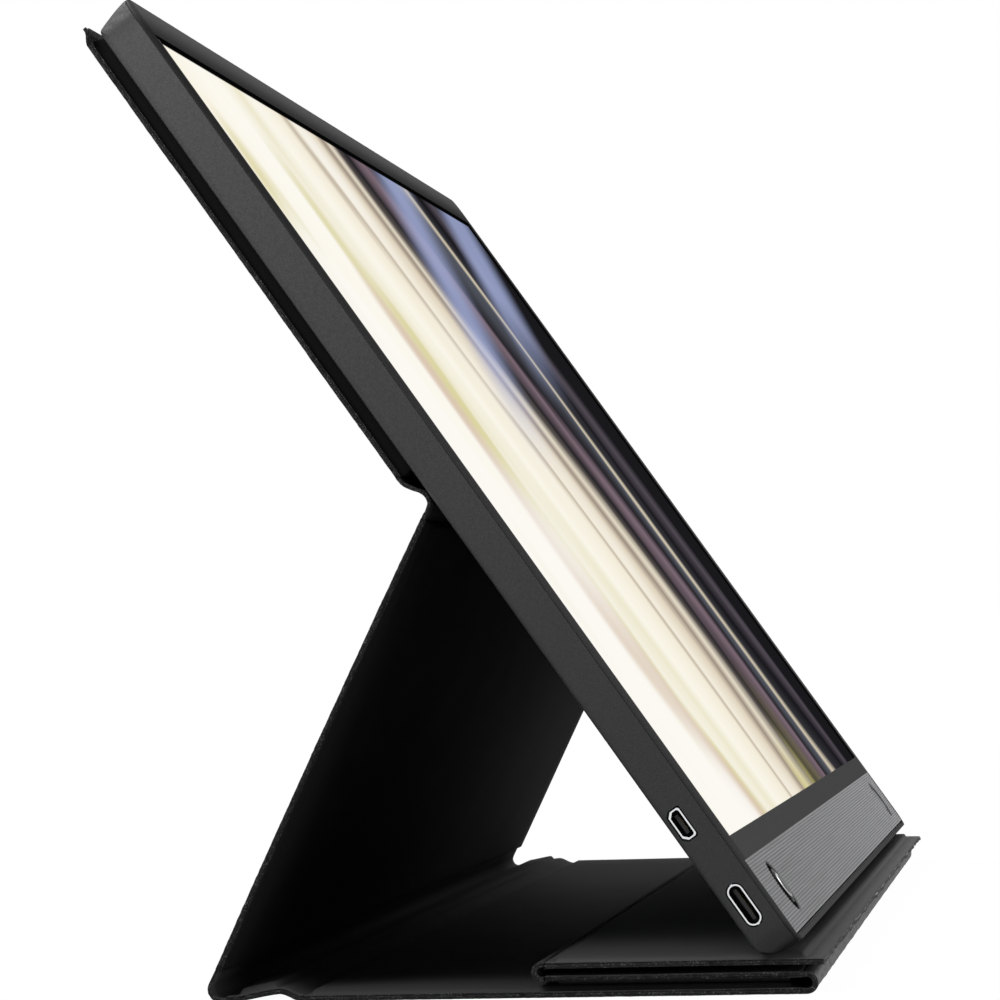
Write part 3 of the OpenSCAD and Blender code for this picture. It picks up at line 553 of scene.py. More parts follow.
FILM_FRONT = 0.35 * mm
FILM_BACK = 1.285 * mm
film_in = 0.06 * mm
film_half = WINDOW_HALF - film_in
film_up = (WINDOW_LOW + film_in, WINDOW_HIGH - film_in)
verts, faces = blocks([((-film_half, film_half), film_up, (FILM_FRONT, FILM_BACK))])
film = finish_piece("screen_film", verts, faces, [lit], "display", smooth=False)
print("film", round(2 * film_half / mm, 1), "mm wide")

# %% Gasket in the bezel's seam
GASKET_IN, GASKET_OUT = 0.95 * mm, 0.25 * mm
GASKET_FRONT, GASKET_BACK = 0.46 * mm, 0.64 * mm
CORNER = 5 * mm
CHAMFER = 0.2 * mm


def rounded_outline(inset):
    """Points round the display's outline, that far inside it."""
    reach = CORNER - inset
    half, low, high = HALF_WIDTH - CORNER, CORNER, FACE_HEIGHT - CORNER - CHAMFER
    middles = ((half, low, 270), (half, high, 0), (-half, high, 90), (-half, low, 180))
    steps = [(x, h, first + step) for x, h, first in middles for step in range(0, 91, 9)]
    turned = [(x, h, math.radians(degrees)) for x, h, degrees in steps]
    return [(x + reach * math.cos(angle), h + reach * math.sin(angle)) for x, h, angle in turned]


section = (
    (GASKET_OUT, GASKET_FRONT), (GASKET_OUT, GASKET_BACK),
    (GASKET_IN, GASKET_BACK), (GASKET_IN, GASKET_FRONT),
)
loops = [[on_display(x, h, depth) for x, h in rounded_outline(inset)] for inset, depth in section]
index = np.arange(4 * len(loops[0])).reshape(4, -1)
beside = np.roll(index, -1, axis=0)
ring_faces = [index, np.roll(index, -1, axis=1), np.roll(beside, -1, axis=1), beside]
faces = np.stack(ring_faces, axis=-1).reshape(-1, 4)
rubber = clouded("seam_gasket", 1.5 * mm, 2, ("#3c3c3d", "#4a4a4b"), (0.7, 0.9), 0.1)
gasket = finish_piece("seam_gasket", sum(loops, []), faces, [rubber], "display")
print("gasket of", len(faces), "faces")

# %% [markdown]
# ## Metal and black plastic in the ports, and the two controls
# The ports are drawn tubes of bright steel around a black tongue with gold contacts, and painted
# shade darkens the steel just inside each mouth. The controls are small metal caps: the left one
# swells, with painted shadow round its foot, a painted highlight ring and a satin middle, and the
# right one is a satin dish with a ring of painted shade round its rim. Real polish is never even, so
# a faint noise drives the roughness, and a circular brushing runs round the satin dish.


# %% Metals and plastics
def drifting(finish, size, tones, roughness, spread):
    """Gives a finish two tones and an uneven polish, in clouds of one size."""
    cloud = finish.noise(size, 3)
    finish.set(Base_Color=finish.tones(cloud, 0.35, 0.65, tones[0], tones[1]))
    finish.set(Roughness=finish.drift(cloud, roughness - spread, roughness + spread))
    return cloud


def metal(name, tones, roughness, spread=0.05, size=2 * mm):
    """Bare metal."""
    finish = Finish(name, Metallic=1.0)
    drifting(finish, size, tones, roughness, spread)
    return finish


def plastic(name, tones, roughness):
    """Moulded plastic in its own colour, with a faint grain."""
    finish = Finish(name, Specular_IOR_Level=0.4)
    finish.set(Normal=finish.bump(drifting(finish, 1.2 * mm, tones, roughness, 0.06), 0.01 * mm))
    return finish


steel = Finish("port_steel", Metallic=1.0)
mouth_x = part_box("usb_c_shell")[0].x
deep_in = steel.along(ACROSS, (mouth_x, 0, 0))
print("port mouths", round((mouth_x + HALF_WIDTH) / mm, 2), "mm inside the edge")
# painted shade: the steel is bright at each mouth and near black a fifth of a millimetre inside
steel.set(Base_Color=steel.tones(deep_in, 0.2 * mm, 0.07 * mm, "#171718", "#e2e3e5"))
steel.set(Roughness=steel.drift(steel.noise(2 * mm, 3), 0.19, 0.29))
port_black = plastic("port_black", ("#0a0a0b", "#111112"), 0.55)
contact_gold = metal("contact_gold", ("#c59f52", "#e0bf74"), 0.25)

dome = Finish("dome_polish", Metallic=0.95, Specular_Tint="#8f8f8f")
out_way = from_control(dome, "menu_button")
streaks = dome.noise(0.5 * mm, 3, (1, 0.08, 0.08))
# painted highlight: a bright ring round the dome, between 2 and 3 mm from its middle
painted_gleam = dome.fade(out_way, 3.0 * mm, 2.7 * mm) * dome.fade(out_way, 2.0 * mm, 2.3 * mm)
satin = dome.tones(streaks, 0.38, 0.62, "#565657", "#8a8a8b")
# painted shadow: the dome's foot, past 3.1 mm from its middle, is near black
satin = dome.tones(out_way, 3.1 * mm, 2.7 * mm, "#1b1b1c", satin)
dome.set(Base_Color=dome.mix(painted_gleam, satin, "#f2f2f2"))
dome.set(Roughness=dome.drift(streaks, 0.14, 0.3))
switch_plastic = plastic("switch_plastic", ("#cfcfca", "#dadad5"), 0.45)
screw_black = metal("screw_black", ("#4c4e51", "#66686b"), 0.4, 0.08)
plate_steel = metal("plate_steel", ("#8f9296", "#a2a5a9"), 0.35, 0.08, 4 * mm)
magnet_nickel = metal("magnet_nickel", ("#bcbec2", "#d2d3d6"), 0.2)
tray_metal = metal("tray_metal", ("#aeb1b5", "#c0c3c7"), 0.38, 0.08, 6 * mm)

disc = Finish("satin_disc", Metallic=0.9, Specular_Tint="#8f8f8f")
out_way = from_control(disc, "power_button")
rings = disc.noise(0.12 * mm, 2, vector=disc.add("ShaderNodeCombineXYZ", {0: out_way}))
turned = disc.tones(rings, 0.3, 0.7, "#77797b", "#97999b")
# painted shade: a near black ring round the disc, from 3.2 mm out
disc.set(Base_Color=disc.tones(out_way, 3.2 * mm, 3.7 * mm, turned, "#2a2a2b"))
disc.set(Roughness=disc.drift(rings, 0.28, 0.42), Normal=disc.bump(rings, 0.01 * mm))

light_pipe = clouded("light_pipe_plastic", 0.8 * mm, 2, ("#dfe4e6", "#f2f5f6"), (0.15, 0.45))
print("finishes so far:", len(bpy.data.materials))

# %% [markdown]
# ## Inside the display
# Nobody sees the panel's layers until the shell is off, but they are real parts, and each gets a
# finish that a repairer would know: glass, white films, a glowing guide, green boards with copper
# tracks, amber flexes. The tracks are a Voronoi pattern measured in blocks rather than round cells.

# %% Inner finishes
dark_glass = clouded("dark_glass", 30 * mm, 2, ("#09090b", "#101013"), (0.08, 0.18))
white_films = clouded("white_films", 3 * mm, 3, ("#e9e9e4", "#f6f6f3"), (0.35, 0.55), 0.4)
lamp_strip = clouded("lamp_strip", 1.5 * mm, 2, ("#efe2a0", "#f7eec2"), (0.4, 0.6))

guide = Finish("clear_guide", Specular_IOR_Level=0.5)
dots = guide.cells(1.4 * mm)
guide.set(Base_Color=guide.tones(dots, 0.2, 0.3, "#f5fbfb", "#d9e4e5"), Roughness=0.12)

amber = Finish("amber_flex", Specular_IOR_Level=0.5)
traces = amber.noise(0.5 * mm, 1, (1, 0.05, 0.05))
amber.set(Base_Color=amber.tones(traces, 0.45, 0.55, "#a8651f", "#c98a3e"), Roughness=0.35)

green = Finish("circuit_board", Specular_IOR_Level=0.5)
squares = green.cells(1.6 * mm, distance="CHEBYCHEV")
green.set(Base_Color=green.tones(squares, 0.36, 0.42, "#17512f", "#2c7a4b"))
green.set(Roughness=green.fade(squares, 0, 1, 0.3, 0.5))
print("finishes so far:", len(bpy.data.materials))

# %% Finishes on the display's solids
DRESSES = (
    (shell_paint, ["rear_shell"]),
    (bezel_paint, ["front_bezel"]),
    (strip, ["chin_strip"]),
    (dark_glass, ["lcd_cell"]),
    (white_films, ["optical_films", "reflector_sheet"]),
    (guide, ["light_guide"]),
    (lamp_strip, ["led_bar"]),
    (tray_metal, ["panel_tray", "board_shield"]),
    (amber, ["driver_flex"]),
    (green, ["driver_board", "main_board", "button_board"]),
    (port_black, ["display_cable", "usb_c_tongue", "hdmi_tongue"]),
    (steel, ["usb_c_shell", "hdmi_shell"]),
    (switch_plastic, ["menu_switch", "power_switch"]),
    (light_pipe, ["light_pipe"]),
    (screw_black, ["shell_screws"]),
    (plate_steel, ["magnet_plates"]),
    (dome, ["menu_button"]),
    (disc, ["power_button"]),
    (magnet_nickel, ["back_magnets", "ledge_magnets"]),
)


def dress(finish, names):
    """Gives some solids a finish, in every slot that they have."""
    for solid in (nodes[name] for name in names):
        if not solid.material_slots:
            solid.data.materials.append(finish.material)
        for place in solid.material_slots:
            place.material = finish.material


for finish, names in DRESSES:
    dress(finish, names)
print("dressed", sum(len(names) for finish, names in DRESSES), "solids")

# %% [markdown]
# ## Contacts in the two ports
# The tongue in each port carries a row of thin gold contacts on both faces. Small things like these
# tell the eye how big a port is, so they are real little blocks in a loop, sunk a hair into the
# tongue so that no gap shows. The USB port has two small springs beside its tongue as well. They
# grip the plug, and they are the brightest spots in the mouth.

# %% Port contacts and springs
CONTACT_WIDE, CONTACT_LONG, CONTACT_THICK = 0.26 * mm, 3.2 * mm, 0.04 * mm
CONTACT_OFF = 0.355 * mm
SPRING_WIDE = 0.24 * mm
SPRING_DEEP = (4.5 * mm, 5.0 * mm)
BESIDE_TONGUE = 0.35 * mm


def about(middle, size):
    """The two ends of a length about its middle."""
    return middle - size / 2, middle + size / 2


def up_the_face(node):
    """How far up the display's face the points of a solid lie."""
    return [(Vector(v.co) - LIP).dot(UP_FACE) for v in nodes[node].data.vertices]


def port_piece(name, places, finish):
    """Some blocks inside a port as one piece."""
    made = finish_piece(name, *blocks(places), [finish], "display", smooth=False)
    print(name, "made of", len(places), "blocks")


for name, node, count, spread, deep_mid in (
    ("usb_contacts", "usb_c_tongue", 10, 0.5 * mm, 4.75 * mm),
    ("hdmi_contacts", "hdmi_tongue", 8, 0.4 * mm, 5.6 * mm),
):
    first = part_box(node)[0].x + 0.5 * mm
    up_mid = np.mean(up_the_face(node))
    places = [
        (
            (first, first + CONTACT_LONG),
            about(up_mid + (i - (count - 1) / 2) * spread, CONTACT_WIDE),
            about(deep_mid + face * CONTACT_OFF, CONTACT_THICK),
        )
        for i in range(count)
        for face in (-1, 1)
    ]
    port_piece(name, places, contact_gold)

tongue_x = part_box("usb_c_tongue")[0].x
tongue_up = up_the_face("usb_c_tongue")
spring_x = (tongue_x + 0.1 * mm, tongue_x + 1.6 * mm)
springs_up = (min(tongue_up) - BESIDE_TONGUE, max(tongue_up) + BESIDE_TONGUE)
springs = [(spring_x, about(up, SPRING_WIDE), SPRING_DEEP) for up in springs_up]
port_piece("usb_springs", springs, metal("bright_tab", ("#d0d1d3", "#e8e9ea"), 0.25))

# %% [markdown]
# ## Cloth for the cover
# The outer skin is artificial leather: a black film with a pebbled grain on a woven back. The lining
# is a fine napped cloth. Where both are cut, pale fibres of the backing show. Each is a material of
# its own, measured in real sizes, so that the grain is as small as it is on a real cover.

# %% Skin, lining, cut edge and board
leather = Finish("cover_skin", Specular_IOR_Level=0.35)
pebbles = leather.cells(0.85 * mm, feature="SMOOTH_F1")
pores = leather.noise(0.3 * mm, 3)
wear = leather.noise(18 * mm, 3)
leather.set(Base_Color=leather.tones(wear, 0.4, 0.75, "#161617", "#222223"))
leather.set(Roughness=leather.fade(pebbles, 0.1, 0.7, 0.5, 0.68))
leather.set(Normal=leather.bump(pebbles * 0.7 + pores * 0.3, 0.06 * mm))

HALF_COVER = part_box("strut_skin")[1].x
BOARD_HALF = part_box("strut_board")[1].x
PLAIN_WEAVE = ("#070708", "#101011", "#161617")
# painted light at the lining's rims, and just past its board
PLAIN_RIM = ("#303031", "#3b3b3c")


def napped_cloth(name, weave=PLAIN_WEAVE, rim_tones=PLAIN_RIM, lit_reach=30 * mm, front_edge=None):
    """The lining, with painted light: it pales towards both cut edges, and more past the board."""
    cloth = Finish(name, Specular_IOR_Level=0.03)
    threads = cloth.noise(0.22 * mm, 3)
    stroked = cloth.noise(14 * mm, 3, (0.5, 1, 1))
    tone = cloth.tones(threads, 0.35, 0.7, weave[0], weave[1])
    tone = cloth.mix(cloth.fade(stroked, 0.4, 0.8, 0, 0.6), tone, weave[2])
    beside = cloth.along(ACROSS)
    tone = cloth.tones(abs(beside), HALF_COVER - lit_reach, HALF_COVER, tone, rim_tones[0])
    past_board = (BOARD_HALF + 0.1 * mm, BOARD_HALF + 0.7 * mm)
    tone = cloth.tones(abs(beside), *past_board, tone, rim_tones[1])
    # painted light along a front edge, paler towards the far side
    if front_edge is not None:
        rim = cloth.tones(beside, -HALF_COVER, HALF_COVER, "#454546", "#5c5c5d")
        tone = cloth.tones(cloth.along((0, 1, 0)), front_edge, front_edge - 0.8 * mm, tone, rim)
    cloth.set(Base_Color=tone, Roughness=cloth.drift(threads, 0.82, 0.96))
    cloth.set(Normal=cloth.bump(threads, 0.05 * mm))
    return cloth


lining_finish = napped_cloth("cover_lining")
# a copy with painted shade: its rims stay dark; it lines the back and the strut
shaded_lining = napped_cloth("shaded_lining", rim_tones=("#171718", "#1b1b1c"))
ledge_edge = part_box("ledge_board")[0].y
# painted light: the ledge's copy has a paler weave and rims, lit from the front
ledge_weave = ("#161617", "#232324", "#1a1a1b")
ledge_lining = napped_cloth("ledge_lining", ledge_weave, ("#3c3c3d", "#4a4a4b"), 62 * mm, ledge_edge)
LINING_OF = {"back": shaded_lining, "strut": shaded_lining, "ledge": ledge_lining}

cut = Finish("cut_edge", Specular_IOR_Level=0.2)
fuzz = cut.noise(0.28 * mm, 4)
tufts = cut.noise(1.6 * mm, 3)
fibre = cut.fade(fuzz, 0.52, 0.7) * cut.fade(tufts, 0.3, 0.6)
cut.set(Base_Color=cut.mix(fibre, "#1b1b1c", "#6c6c6e"))
cut.set(Roughness=cut.drift(fuzz, 0.75, 0.95), Normal=cut.bump(fuzz, 0.12 * mm))

board = clouded("grey_board", 1.1 * mm, 4, ("#5d4f3e", "#78684f"), (0.7, 0.9), 0.25, 0.03 * mm)
boards = [f"{name}_board" for name in ("back", "strut", "spine", "base", "flap", "ledge")]
dress(board, boards)
print("dressed", len(boards), "boards of the cover")

# %% [markdown]
# ## A sheet with two faces and cut edges
# Every cloth of the cover is made by one function. It takes a path in the side view, the places of
# the columns across the cover, and a thickness. For each point of the path it makes a ring of points
# round the cloth: over the top, down the cut edge, and back underneath. Rings joined one to the next
# make a closed sheet. The cut edge has three points of its own: the two plies bulge, and the glue
# line between them stays back. Seeded random values make the cut ragged in the same way every time.


# %% Sheet builder
EDGE_GAP = 0.35 * mm
WIDE_GAP = 8 * mm
FRAY_SIDE = 0.9 * mm
FRAY_END = 1.2 * mm
LEAST_FRAY = 0.02
SIDE_ROUGH = 0.16 * mm
# Where each point of a cut side lies: its share of the thickness, and how far out it stands.
PLIES = ((0.30, 0.35), (0.0, -0.75), (-0.30, 0.35))


def ragged(places, seed, size, strength):
    """Random values around 0 at given places along an edge, with lumps of about that size."""
    rng = np.random.default_rng(seed)
    low, high = places.min() - size, places.max() + size
    grid = np.arange(low, high + 2 * size, size)
    return strength * np.interp(places, grid, rng.normal(0, 1, len(grid)).clip(-2.2, 2.2))


def waves(x, s, seed, size, count=7):
    """A smooth swell over the cloth, as a sum of waves with random directions."""
    rng = np.random.default_rng(seed)
    total = 0 * x + 0 * s
    for _ in range(count):
        heading = rng.uniform(0, 2 * math.pi)
        length = size * rng.uniform(0.6, 1.6)
        across = x * math.cos(heading) + s * math.sin(heading)
        total = total + np.sin(2 * math.pi * across / length + rng.uniform(0, 2 * math.pi))
    return total / math.sqrt(count)


def columns(half, gap=WIDE_GAP, extra=(0.0,)):
    """Places across the cover: close together at both cut edges, wider apart in the middle."""
    near = half - np.array([0, 1, 2, 4, 7]) * EDGE_GAP
    middle = np.arange(-half + 8 * EDGE_GAP, half - 8 * EDGE_GAP, gap)
    return np.unique(np.concatenate([near, -near, middle, extra]).round(6))


def sheet_points(path, normals, cols, thick, swell, end_rough, side_rough, seed):
    """The rings of points round a sheet. swell: the height over the path at each row and column."""
    steps = np.linalg.norm(np.diff(path, axis=0), axis=1)
    s = np.concatenate([[0], np.cumsum(steps)])
    tangents = np.gradient(path, s, axis=0)
    shift = np.zeros(swell.shape)
    for end, amount in zip((0, -1), end_rough):
        if amount:
            wave = ragged(cols, seed + 11 * (end + 2), 0.5 * mm, 0.6)
            wave = wave + ragged(cols, seed + 7, 4 * mm, 0.6)
            shift += np.outer(np.exp(-abs(s - s[end]) / FRAY_END), wave) * amount

    def points(x, height, shift):
        """Points at some places across, at a height over the path and shifted along it."""
        out = normals[:, None] * height[..., None]
        flat = path[:, None] + out + tangents[:, None] * shift[..., None]
        return np.concatenate([np.broadcast_to(x, height.shape)[..., None], flat], axis=2)

    faces = {side: points(cols, swell + side * thick / 2, shift) for side in (1, -1)}
    walls = {}
    for sign, edge in ((1, slice(-1, None)), (-1, slice(1))):
        fringe = ragged(s, seed + 3 * sign + 5, 0.45 * mm, 0.7)
        fringe = fringe + ragged(s, seed + sign + 9, 3 * mm, 0.5)
        fray = np.exp(-(cols.max() - sign * cols) / FRAY_SIDE)
        fray[fray <= LEAST_FRAY] = 0
        for side in (1, -1):
            own = ragged(s, seed + 17 * side + sign, 0.5 * mm, 0.35)
            faces[side][..., 0] += np.outer(fringe + own - 0.5, fray) * sign * side_rough
        wall = []
        for k, (share, out) in enumerate(PLIES, 1):
            own = ragged(s, seed + 29 * k + sign, 0.4 * mm, 0.6)
            beside = sign * (cols.max() + side_rough * (fringe + own + 1.6 * out))
            wall.append(points(beside[:, None], share * thick + swell[:, edge], shift[:, edge]))
        walls[sign] = wall
    ring = [faces[1], *walls[1], faces[-1][:, ::-1], *walls[-1][::-1]]
    return np.concatenate(ring, axis=1)


def sheet_piece(name, path, cols, thick, finishes, body=None, swell=None, end_rough=(0, 0),
                side_rough=SIDE_ROUGH, seed=1, underside=False):
    """A closed sheet of cloth along (y, z) points. finishes: top, cut edge and underside."""
    steps = np.gradient(path, axis=0)
    steps /= np.linalg.norm(steps, axis=1)[:, None]
    normals = np.stack([-steps[:, 1], steps[:, 0]], axis=1)
    if swell is None:
        swell = np.zeros((len(path), len(cols)))
    rings = sheet_points(path, normals, cols, thick, swell, end_rough, side_rough, seed)
    rows, around = rings.shape[:2]
    count = len(cols)
    index = np.arange(rows * around).reshape(rows, around)
    after = np.roll(index, -1, axis=1)
    quads = np.stack([index[:-1], index[1:], after[1:], after[:-1]], axis=-1).reshape(-1, 4)
    ring_finish = np.ones(around, dtype=int)
    ring_finish[: count - 1] = 0
    ring_finish[count + 3 : 2 * count + 2] = 2 if underside else 0
    kinds = list(np.tile(ring_finish, rows - 1))
    faces = [tuple(q) for q in quads]
    for end in (0, rows - 1):
        over = index[end, :count]
        under = index[end, count + 3 : 2 * count + 3][::-1]
        lids = list(zip(over, over[1:], under[1:], under))
        lids.append((over[-1], *index[end, count : count + 3], under[-1]))
        lids.append((under[0], *index[end, 2 * count + 3 :], over[0]))
        faces += [lid[::-1] for lid in lids] if end else lids
        kinds += [1] * len(lids)
    made = finish_piece(name, rings.reshape(-1, 3), faces, finishes, body, kinds)
    print(name, len(faces), "faces")
    return made


print("a cut side has", len(PLIES), "points of its own")

# %% [markdown]
# ## The stiff panels of the cover
# A panel is skin, board and lining in one flat packet. Its place comes from its own solid: the two
# main directions of the solid's side view say how it leans, and its points, measured along those
# directions, say how long and thick it is.


# %% Panel frames
class Panel:
    """A flat panel of the cover: where it starts, which way it runs and where its lining faces."""

    def __init__(self, name):
        skin = self.side_view(f"{name}_skin")
        middle = skin.mean(axis=0)
        self.run = np.linalg.svd(skin - middle)[2][0]
        if name in ("base", "flap", "ledge"):
            self.run = np.array([1.0, 0.0])
        elif self.run[1] < 0:
            self.run = -self.run
        self.up = np.array([-self.run[1], self.run[0]])
        if (self.side_view(f"{name}_lining").mean(axis=0) - middle) @ self.up < 0:
            self.up = -self.up
        self.start = np.zeros(2)
        low = self.span(f"{name}_skin")[0]
        self.start = self.run * low[0] + self.up * low[1]
        self.skin, self.board, self.lining = (
            self.span(f"{name}_{ply}") for ply in ("skin", "board", "lining")
        )

    def side_view(self, node):
        """The solid's points in the side view, each once."""
        return np.unique(np.array([v.co[1:] for v in nodes[node].data.vertices]).round(6), axis=0)

    def span(self, node):
        """The lowest and highest (along, up) of a solid in this panel's frame."""
        view = self.side_view(node) - self.start
        measured = np.stack([view @ self.run, view @ self.up], axis=1)
        return measured.min(axis=0), measured.max(axis=0)

    def path(self, places, height):
        """Points of the side view at places along the panel and one height over its outer face."""
        return self.start + np.outer(places, self.run) + self.up * height

    def facing(self, path, swell):
        """A path and its swell, turned round where the lining would lie on the wrong hand."""
        if self.run[0] * self.up[1] < self.run[1] * self.up[0]:
            return path[::-1], swell[::-1]
        return path, swell


BODY_OF = {"back": "back_panel", "strut": "strut", "base": "base", "flap": "flap", "ledge": "ledge"}
panels = {name: Panel(name) for name in BODY_OF}
for name, panel in panels.items():
    low, high = panel.skin
    print(name, "runs", round(math.degrees(math.atan2(panel.run[1], panel.run[0])), 1), "degrees,",
          round((high[0] - low[0]) / mm, 1), "mm long")

# %% [markdown]
# ## Skins
# The skin is cut by a blade and left raw, so its sides are ragged, and so is its free end behind the
# display's top. It is never quite flat: it waves by a few hundredths of a millimetre, bows along the
# strut, curls in at the free end and puckers before the ledge's board. The solids leave a millimetre
# for it, and the cloth takes three quarters of that, at the outer face.

# %% Panel skins
SKIN_ROOM = 1.0 * mm
SKIN = 0.75 * mm
SLACK = SKIN_ROOM - SKIN
ROW_GAP, FINE_ROWS = 0.6 * mm, 0.5 * mm
SWELL = 0.05 * mm
STRUT_BOW = 0.35 * mm
TIP_CURL = 1.3 * mm
TIP_CURL_LONG = 2.8 * mm
PUCKER = 0.14 * mm
PUCKER_LONG = 2 * mm
END_ROOM = 0.12 * mm


def rows_between(low, high, gap=ROW_GAP):
    return np.linspace(low, high, max(2, int(round((high - low) / gap)) + 1))


def eased_step(t):
    """Runs smoothly from 0 to 1 while t does, and stays level outside."""
    t = np.clip(t, 0, 1)
    return t * t * (3 - 2 * t)


def end_room(name):
    """How far the flap and the ledge stay back from each other, as they meet when laid out flat."""
    return END_ROOM if name in ("flap", "ledge") else 0.0


def lean_out(name, x, places):
    """How far a panel's cloth lies off its straight line, towards the lining, at every point."""
    panel = panels[name]
    low, high = panel.skin
    board_low, board_high = panel.board
    along = ((places - low[0]) / (high[0] - low[0]))[:, None] + 0 * x[None, :]
    if name == "strut":
        return -STRUT_BOW * np.sin(math.pi * along)
    if name == "back":
        return TIP_CURL * eased_step((places - board_high[0])[:, None] / TIP_CURL_LONG) + 0 * along
    if name == "ledge":
        before = np.clip((board_low[0] - places)[:, None] / PUCKER_LONG, 0, 1)
        folds = np.minimum(waves(x[None, :], 0.3 * places[:, None], 61, 8 * mm, 9), 1)
        return PUCKER * before * folds
    return 0 * along


def flat_skin(name, seed, end_rough=(0, 0), gap=WIDE_GAP):
    """The skin of a straight panel, with its cut edges."""
    panel = panels[name]
    low, high = panel.skin
    places = rows_between(low[0], high[0] - end_room(name))
    cols = columns(HALF_COVER, gap)
    swell = SWELL * waves(cols[None, :], places[:, None], seed, 60 * mm)
    swell = swell + lean_out(name, cols, places)
    path, swell = panel.facing(panel.path(places, SKIN / 2), swell)
    made = sheet_piece(f"{name}_leather", path, cols, SKIN, [leather, cut], BODY_OF[name],
                       swell, end_rough, seed=seed)
    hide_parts(f"{name}_skin")


flat_skin("back", 21, (0, 0.1 * mm))
flat_skin("strut", 22)
flat_skin("flap", 23)
flat_skin("ledge", 24, (0.2 * mm, 0), gap=3 * mm)

# %% [markdown]
# The base's skin runs on under the spine, where the cover would wrap round the display's edge. It
# leaves the table in a low arch there and comes down again at the foot.

# %% Base skin
base_low, base_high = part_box("base_skin")
front_y, foot_y = base_low.y, base_high.y
SPINE_WIDE = 13.5 * mm
ARCH_WIDE = 4.5 * mm
ARCH_UP = base_high.z - SKIN_ROOM
FOOT_RUN = 2.2 * mm
arch_top_y = foot_y + FOOT_RUN - SPINE_WIDE + ARCH_WIDE / 3


def spine_height(y):
    """How far the base's skin stands off the table at a place."""
    rise = (1 - np.cos(math.pi * np.clip((y - arch_top_y) / ARCH_WIDE + 1, 0, 1))) / 2
    fall = np.clip((foot_y - y) / (foot_y - arch_top_y), 0, 1)
    return ARCH_UP * np.where(y < arch_top_y, rise, (eased_step(fall) + fall) / 2)


base_rows = rows_between(front_y, foot_y, FINE_ROWS)
base_path = np.stack([base_rows, SKIN / 2 + spine_height(base_rows)], axis=1)
base_leather = sheet_piece("base_leather", base_path, columns(HALF_COVER), SKIN,
                           [leather, cut], "base", seed=25)
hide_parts("base_skin")

# %% [markdown]
# ## Linings
# The lining is glued over the board and down onto the skin's rim, so the board's outline shows
# through as a soft step a few millimetres inside the edge. The step is a height that falls off
# smoothly just outside the board, and rows and columns crowd together there.


# %% Panel linings
STEP_WIDE = 0.9 * mm
STEPS = STEP_WIDE * np.arange(5) / 4
LINING_GAP, LEAST_GAP = 1.5 * mm, 0.04 * mm
GLUE = 0.02 * mm
LINING_ROUGH = 0.1 * mm


def lining_places(low, high, board_low, board_high):
    """Places from low to high, with more of them on the steps at both ends of the board."""
    extra = np.append(board_low - STEPS, board_high + STEPS)
    every = np.append(rows_between(low, high, LINING_GAP), extra[(extra > low) & (extra < high)])
    every = np.unique(every.round(6))
    return every[np.append(True, np.diff(every) > LEAST_GAP)]


def lining_columns(half, board_half):
    """Columns with more of them on the steps beside the board."""
    steps = board_half + STEPS
    return columns(half, extra=np.append(steps, -steps))


def over_board(places, cols, low, high, half):
    """1 over a board from low to high, falling to 0 a step's width outside it on every side."""
    beyond = np.maximum(np.maximum(low - places, places - high), 0)[:, None]
    beside = np.maximum(abs(cols[None, :]) - half, 0)
    return eased_step(1 - np.hypot(beside, beyond) / STEP_WIDE)


def panel_lining(name, seed):
    """The lining of a straight panel, over its board and down onto its rim."""
    panel = panels[name]
    low, high = panel.lining
    board_low, board_high = panel.board
    rise = board_high[1] - board_low[1]
    thick = high[1] - low[1] - rise
    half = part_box(f"{name}_lining")[1].x
    board_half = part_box(f"{name}_board")[1].x
    places = lining_places(low[0], high[0] - end_room(name), board_low[0], board_high[0])
    cols = lining_columns(half, board_half)
    on_board = over_board(places, cols, board_low[0], board_high[0], board_half)
    swell = (rise + SLACK) * on_board + lean_out(name, cols, places) * (1 - on_board)
    swell = swell + GLUE * np.minimum(waves(cols[None, :], places[:, None], seed, 40 * mm), 1)
    path, swell = panel.facing(panel.path(places, low[1] + thick / 2 + GLUE - SLACK), swell)
    finishes = [LINING_OF.get(name, lining_finish), cut]
    made = sheet_piece(f"{name}_cloth", path, cols, thick, finishes, BODY_OF[name], swell,
                       side_rough=LINING_ROUGH, seed=seed)
    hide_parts(f"{name}_lining")


for seed, name in enumerate(BODY_OF, 41):
    panel_lining(name, seed)

# %% [markdown]
# The spine has a lining too. It starts under the base's lining, climbs over the narrow board in the
# spine and goes down into the foot's fold, all as one narrow sheet from side to side.

# %% Spine lining
LINING = 0.3 * mm
LINING_OFF = 0.05 * mm
SPINE_BOARD = 0.7 * mm
PAST_FOOT = 1.2 * mm
SIDE_IN = 0.15 * mm
spine_rise = SPINE_BOARD + 3 * LINING_OFF + SLACK
spine_low, spine_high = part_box("spine_board")
spine_rows = rows_between(arch_top_y - ARCH_WIDE, foot_y + PAST_FOOT, FINE_ROWS)
spine_cols = lining_columns(HALF_COVER - SIDE_IN, spine_high.x)
on_spine = over_board(spine_rows, spine_cols, spine_low.y, spine_high.y, spine_high.x)
spine_up = spine_height(spine_rows) + SKIN + LINING_OFF + LINING / 2
spine_path = np.stack([spine_rows, spine_up], axis=1)
spine_cloth = sheet_piece("spine_cloth", spine_path, spine_cols, LINING, [lining_finish, cut], "base",
                          spine_rise * on_spine, side_rough=LINING_ROUGH, seed=46)

# %% [markdown]
# ## Folds
# Between the stiff panels the cover bends. Each fold is skin and lining together, bent round its own
# line, and each must bend further when the stand closes.

# %% Folds round a half turn
RIM = 1.05 * mm


def arc(middle, radius, first, last, count=24):
    """Points round a middle in the side view, from one angle to another, in degrees."""
    angles = np.radians(np.linspace(first, last, count))
    return middle + radius * np.stack([np.cos(angles), np.sin(angles)], axis=1)


